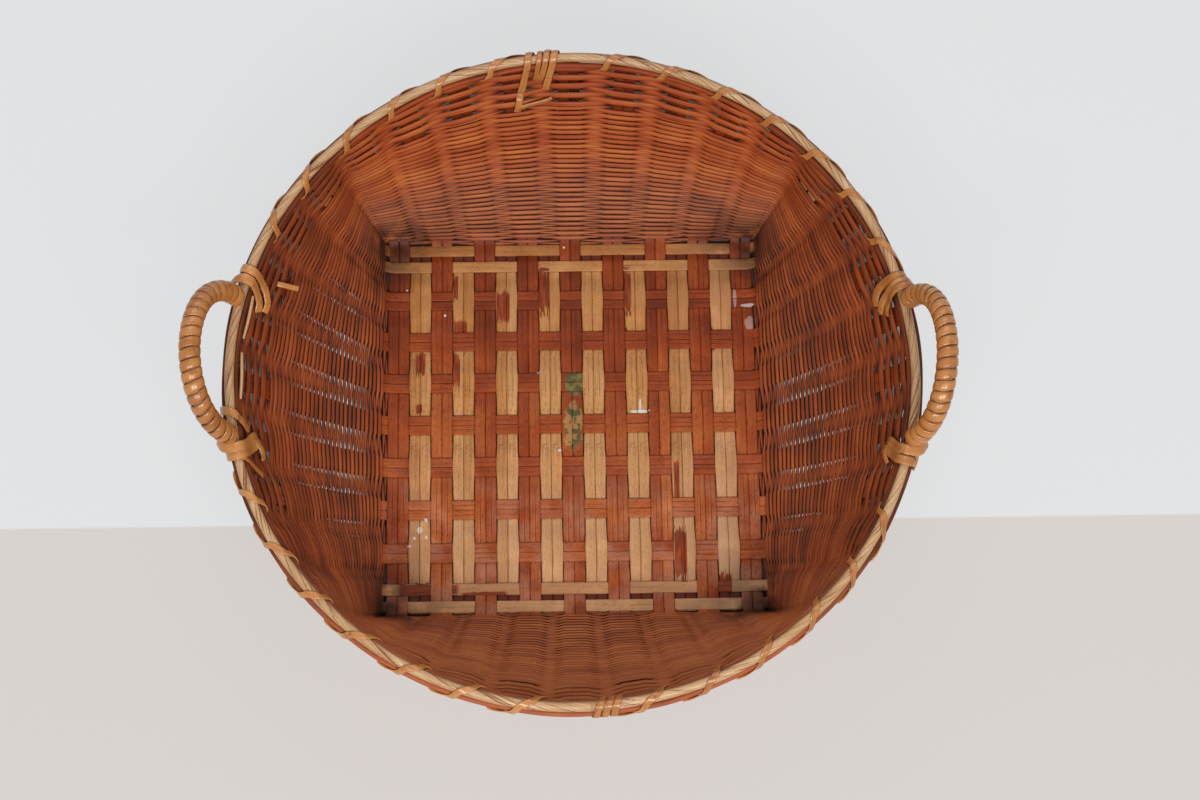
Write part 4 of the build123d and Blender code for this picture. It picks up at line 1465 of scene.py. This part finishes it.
def rim_canes(first_angle, direction, canes, rng):
    """Flat canes laid over the rim, by their distances from an angle round the basket."""
    sweeps = []
    for points, width in canes:
        path = curve_through(np.array(points, float) * MM, 72)
        spot, way = over_rim(path[:, 1], path[:, 2])
        angle = first_angle + direction * path[:, 0] / RIM_RING
        outward = np.stack([np.cos(angle), np.sin(angle), np.zeros_like(angle)], -1)
        upright = np.array([0.0, 0.0, 1.0])
        centre = outward * (RIM_RING + spot[:, :1]) + upright * (RIM_Z + spot[:, 1:])
        up = outward * way[:, :1] + upright * way[:, 1:]
        sweeps.append(cane_sweep(centre, up, width * MM, LAID_CANE, rng, sides=12, power=2.6))
    return sweeps


class BASKET_OT_lashings(Operator):
    """Crossed cane that ties the handles' feet to the rim"""

    bl_idname = "basket.lashings"
    bl_label = "Foot lashings"

    def execute(self, context):
        rng = np.random.default_rng(42)
        handle = context.scene.basket_handle
        for name, side in (("left", -1), ("right", 1)):
            middle = (0.0 if side > 0 else pi) + handle.turn
            for end_name, end in (("near", -1), ("far", 1)):
                direction = side * end
                canes = rim_canes(
                    middle + direction * handle.foot_angle, direction, FOOT_CANES_MM[name, end_name], rng
                )
                make_piece(
                    f"{name}_{end_name}_lashing", canes, material(cane_material),
                    [f"{name}_handle_{end_name}_lashing"],
                )
        return {"FINISHED"}


# ---- stage ---------------------------------------------------------------------------------
def camera_axes(stage):
    """Right, up and back of the camera: spherical angles, then a roll about the view."""
    east, height = stage.azimuth, stage.elevation
    back = Vector((sin(east) * cos(height), -cos(east) * cos(height), sin(height)))
    right = Vector((cos(east), sin(east), 0))
    upward = back.cross(right)
    rolled_right = right * cos(stage.roll) + upward * sin(stage.roll)
    rolled_up = upward * cos(stage.roll) - right * sin(stage.roll)
    return rolled_right, rolled_up, back


# Where the floor changes, in metres from the basket's middle: each pair is where a change begins
# and where it is complete.
SHADE_MIDDLE_Y = 0.041
SHADE_EDGE = (0.224, 0.238)             # by the distance from the shade's middle
BAND_INNER_EDGE, BAND_OUTER_EDGE = (0.136, 0.152), (0.205, 0.175)
BAND_NEAR_END = (-0.12, -0.07)
LEFT_BAND_FAR_END, RIGHT_BAND_FAR_END = (0.13, 0.08), (0.06, 0.02)
TABLE_EDGE = (-0.0695, -0.0675)
BASE_EDGE_X, BASE_EDGE_Y = (0.128, 0.138), (0.138, 0.15)
BAND_LIGHT = 0.8                        # how much of the glow a band of painted light gets
SEEN_GLOW = 0.85                        # how much of what the camera sees is the floor's own glow


def floor_material(stage):
    """Pale matt floor: a wall's white beyond a line, a table's warmer white before it.

    The camera sees it a little brighter than it is lit. A round shadow of the basket is painted on
    it, darker in colour and without that glow, with a darker painted shadow under the base, and a
    soft band of painted light on each side, as if light came through the weave.
    """
    made = bpy.data.materials.new("Painted floor")
    made.use_nodes = True
    tree = made.node_tree
    shader = tree.nodes["Principled BSDF"]
    shader.inputs["Roughness"].default_value = 0.9
    shader.inputs["Specular IOR Level"].default_value = 0.1
    place = add(tree, "TexCoord").outputs["Object"]
    x, y, _ = place_parts(tree)
    shift = (0.0, -SHADE_MIDDLE_Y, 0.0)
    behind = add(tree, "VectorMath", {0: place, 1: shift}, operation="ADD").outputs[0]
    distance = add(tree, "VectorMath", {0: behind}, operation="LENGTH").outputs["Value"]
    clear = between(tree, distance, *SHADE_EDGE)
    beside = figure(tree, "ABSOLUTE", x)
    # Painted light: a soft band on each side keeps most of the glow inside the painted shadow.
    left = product(tree, between(tree, y, *LEFT_BAND_FAR_END), between(tree, x, 0.0, -0.01))
    right = product(tree, between(tree, y, *RIGHT_BAND_FAR_END), between(tree, x, 0.0, 0.01))
    band = product(
        tree, between(tree, beside, *BAND_INNER_EDGE), between(tree, beside, *BAND_OUTER_EDGE),
        figure(tree, "ADD", left, right), between(tree, y, *BAND_NEAR_END),
    )
    clear = figure(tree, "MAXIMUM", clear, product(tree, band, BAND_LIGHT))
    tint = mixed(tree, between(tree, y, *TABLE_EDGE), tuple(stage.table), tuple(stage.floor))
    # Painted shadow: the floor's colour is darker in the basket's round shade.
    shaded = mixed(tree, clear, linear("746B64"), tint)
    # Painted shadow: darker still under the base.
    off_base = figure(
        tree, "MAXIMUM", between(tree, beside, *BASE_EDGE_X),
        between(tree, figure(tree, "ABSOLUTE", y), *BASE_EDGE_Y),
    )
    shaded = mixed(tree, off_base, linear("3A302A"), shaded)
    tree.links.new(shaded, shader.inputs["Base Color"])
    glow = add(tree, "Emission", {"Color": tint, "Strength": 1.0})
    path = add(tree, "LightPath")
    seen = figure(tree, "MAXIMUM", path.outputs["Is Camera Ray"], path.outputs["Is Glossy Ray"])
    part = product(tree, seen, clear, SEEN_GLOW)
    blend = add(tree, "MixShader", {0: part, 1: shader.outputs[0], 2: glow.outputs[0]})
    tree.links.new(blend.outputs[0], tree.nodes["Material Output"].inputs["Surface"])
    return made


def area_lamp(name, place, size, power, aim=(0, 0, 0.05)):
    """A square soft lamp at a place, turned towards a point."""
    data = bpy.data.lights.new(name, "AREA")
    data.shape, data.size, data.energy = "SQUARE", size, power
    lamp = bpy.data.objects.new(name, data)
    bpy.context.scene.collection.objects.link(lamp)
    lamp.location = place
    lamp.rotation_euler = (Vector(aim) - Vector(place)).to_track_quat("-Z", "Y").to_euler()


SENSOR_MM = 36.0                # width of the camera's sensor
FLOOR_REACH = 4.0               # metres from the middle to each edge of the floor
ROOM_LIGHT = 0.42               # strength of the even light from all round
LAMPS = (
    # name, place and side of its square in metres, and power in watts
    ("right lamp", (0.5, -1.2, 1.5), 0.5, 17.0),
    ("left lamp", (-0.45, -1.2, 1.5), 0.5, 16.0),
    ("back lamp", (0.0, 1.3, 1.5), 1.2, 9.0),
)


class BASKET_OT_stage(Operator):
    """Pale floor, soft lamps and the camera"""

    bl_idname = "basket.stage"
    bl_label = "Stage"

    def execute(self, context):
        stage = context.scene.basket_stage
        mesh = bpy.data.meshes.new("floor")
        corners = [(x * FLOOR_REACH, y * FLOOR_REACH, 0) for x, y in ((-1, -1), (1, -1), (1, 1), (-1, 1))]
        mesh.from_pydata(corners, [], [(0, 1, 2, 3)])
        mesh.materials.append(floor_material(stage))
        floor = bpy.data.objects.new("floor", mesh)
        context.scene.collection.objects.link(floor)
        for name, place, size, power in LAMPS:
            area_lamp(name, place, size, power)
        world = bpy.data.worlds.new("soft room")
        context.scene.world = world
        world.use_nodes = True
        light = world.node_tree.nodes["Background"].inputs
        light["Color"].default_value = (1, 1, 1, 1)
        light["Strength"].default_value = ROOM_LIGHT
        right, upward, back = camera_axes(stage)
        data = bpy.data.cameras.new("camera")
        data.lens, data.sensor_width, data.sensor_fit = stage.lens, SENSOR_MM, "HORIZONTAL"
        camera = bpy.data.objects.new("camera", data)
        context.scene.collection.objects.link(camera)
        spot = Vector((stage.aim_x, stage.aim_y, 0)) + back * stage.distance
        turned = Matrix((right, upward, back)).transposed().to_4x4()
        camera.matrix_world = Matrix.Translation(spot) @ turned
        context.scene.camera = camera
        context.scene.view_settings.view_transform = "Standard"
        return {"FINISHED"}


# ---- add-on --------------------------------------------------------------------------------
OPERATORS = (
    BASKET_OT_front_to_back, BASKET_OT_side_to_side, BASKET_OT_fine_rods, BASKET_OT_coarse_rods,
    BASKET_OT_rim_rods, BASKET_OT_stitching, BASKET_OT_handles, BASKET_OT_lashings, BASKET_OT_stage,
)
GROUPS = {
    "basket_base": BaseSizes, "basket_wall": WallSizes, "basket_rim": RimSizes,
    "basket_handle": HandleSizes, "basket_finish": Finish, "basket_stage": StageLook,
}


class BASKET_PT_panel(Panel):
    """Sizes, colours and steps of the basket"""

    bl_idname = "BASKET_PT_panel"
    bl_label = "Wicker basket"
    bl_space_type = "VIEW_3D"
    bl_region_type = "UI"
    bl_category = "Wicker"

    def draw(self, context):
        for attribute, group in GROUPS.items():
            box = self.layout.box()
            box.label(text=group.__name__)
            for name in group.__annotations__:
                box.prop(getattr(context.scene, attribute), name)
        for operator in OPERATORS:
            self.layout.operator(operator.bl_idname)


def register():
    for group in GROUPS.values():
        bpy.utils.register_class(group)
    for attribute, group in GROUPS.items():
        setattr(bpy.types.Scene, attribute, PointerProperty(type=group))
    for item in (*OPERATORS, BASKET_PT_panel):
        bpy.utils.register_class(item)


def unregister():
    for item in (BASKET_PT_panel, *reversed(OPERATORS)):
        bpy.utils.unregister_class(item)
    for attribute, group in GROUPS.items():
        delattr(bpy.types.Scene, attribute)
        bpy.utils.unregister_class(group)


def main():
    """Builds every piece in order."""
    register()
    bpy.ops.basket.front_to_back()
    bpy.ops.basket.side_to_side()
    bpy.ops.basket.fine_rods()
    bpy.ops.basket.coarse_rods()
    bpy.ops.basket.rim_rods()
    bpy.ops.basket.stitching()
    bpy.ops.basket.handles()
    bpy.ops.basket.lashings()
    bpy.ops.basket.stage()


if __name__ == "__main__":
    main()
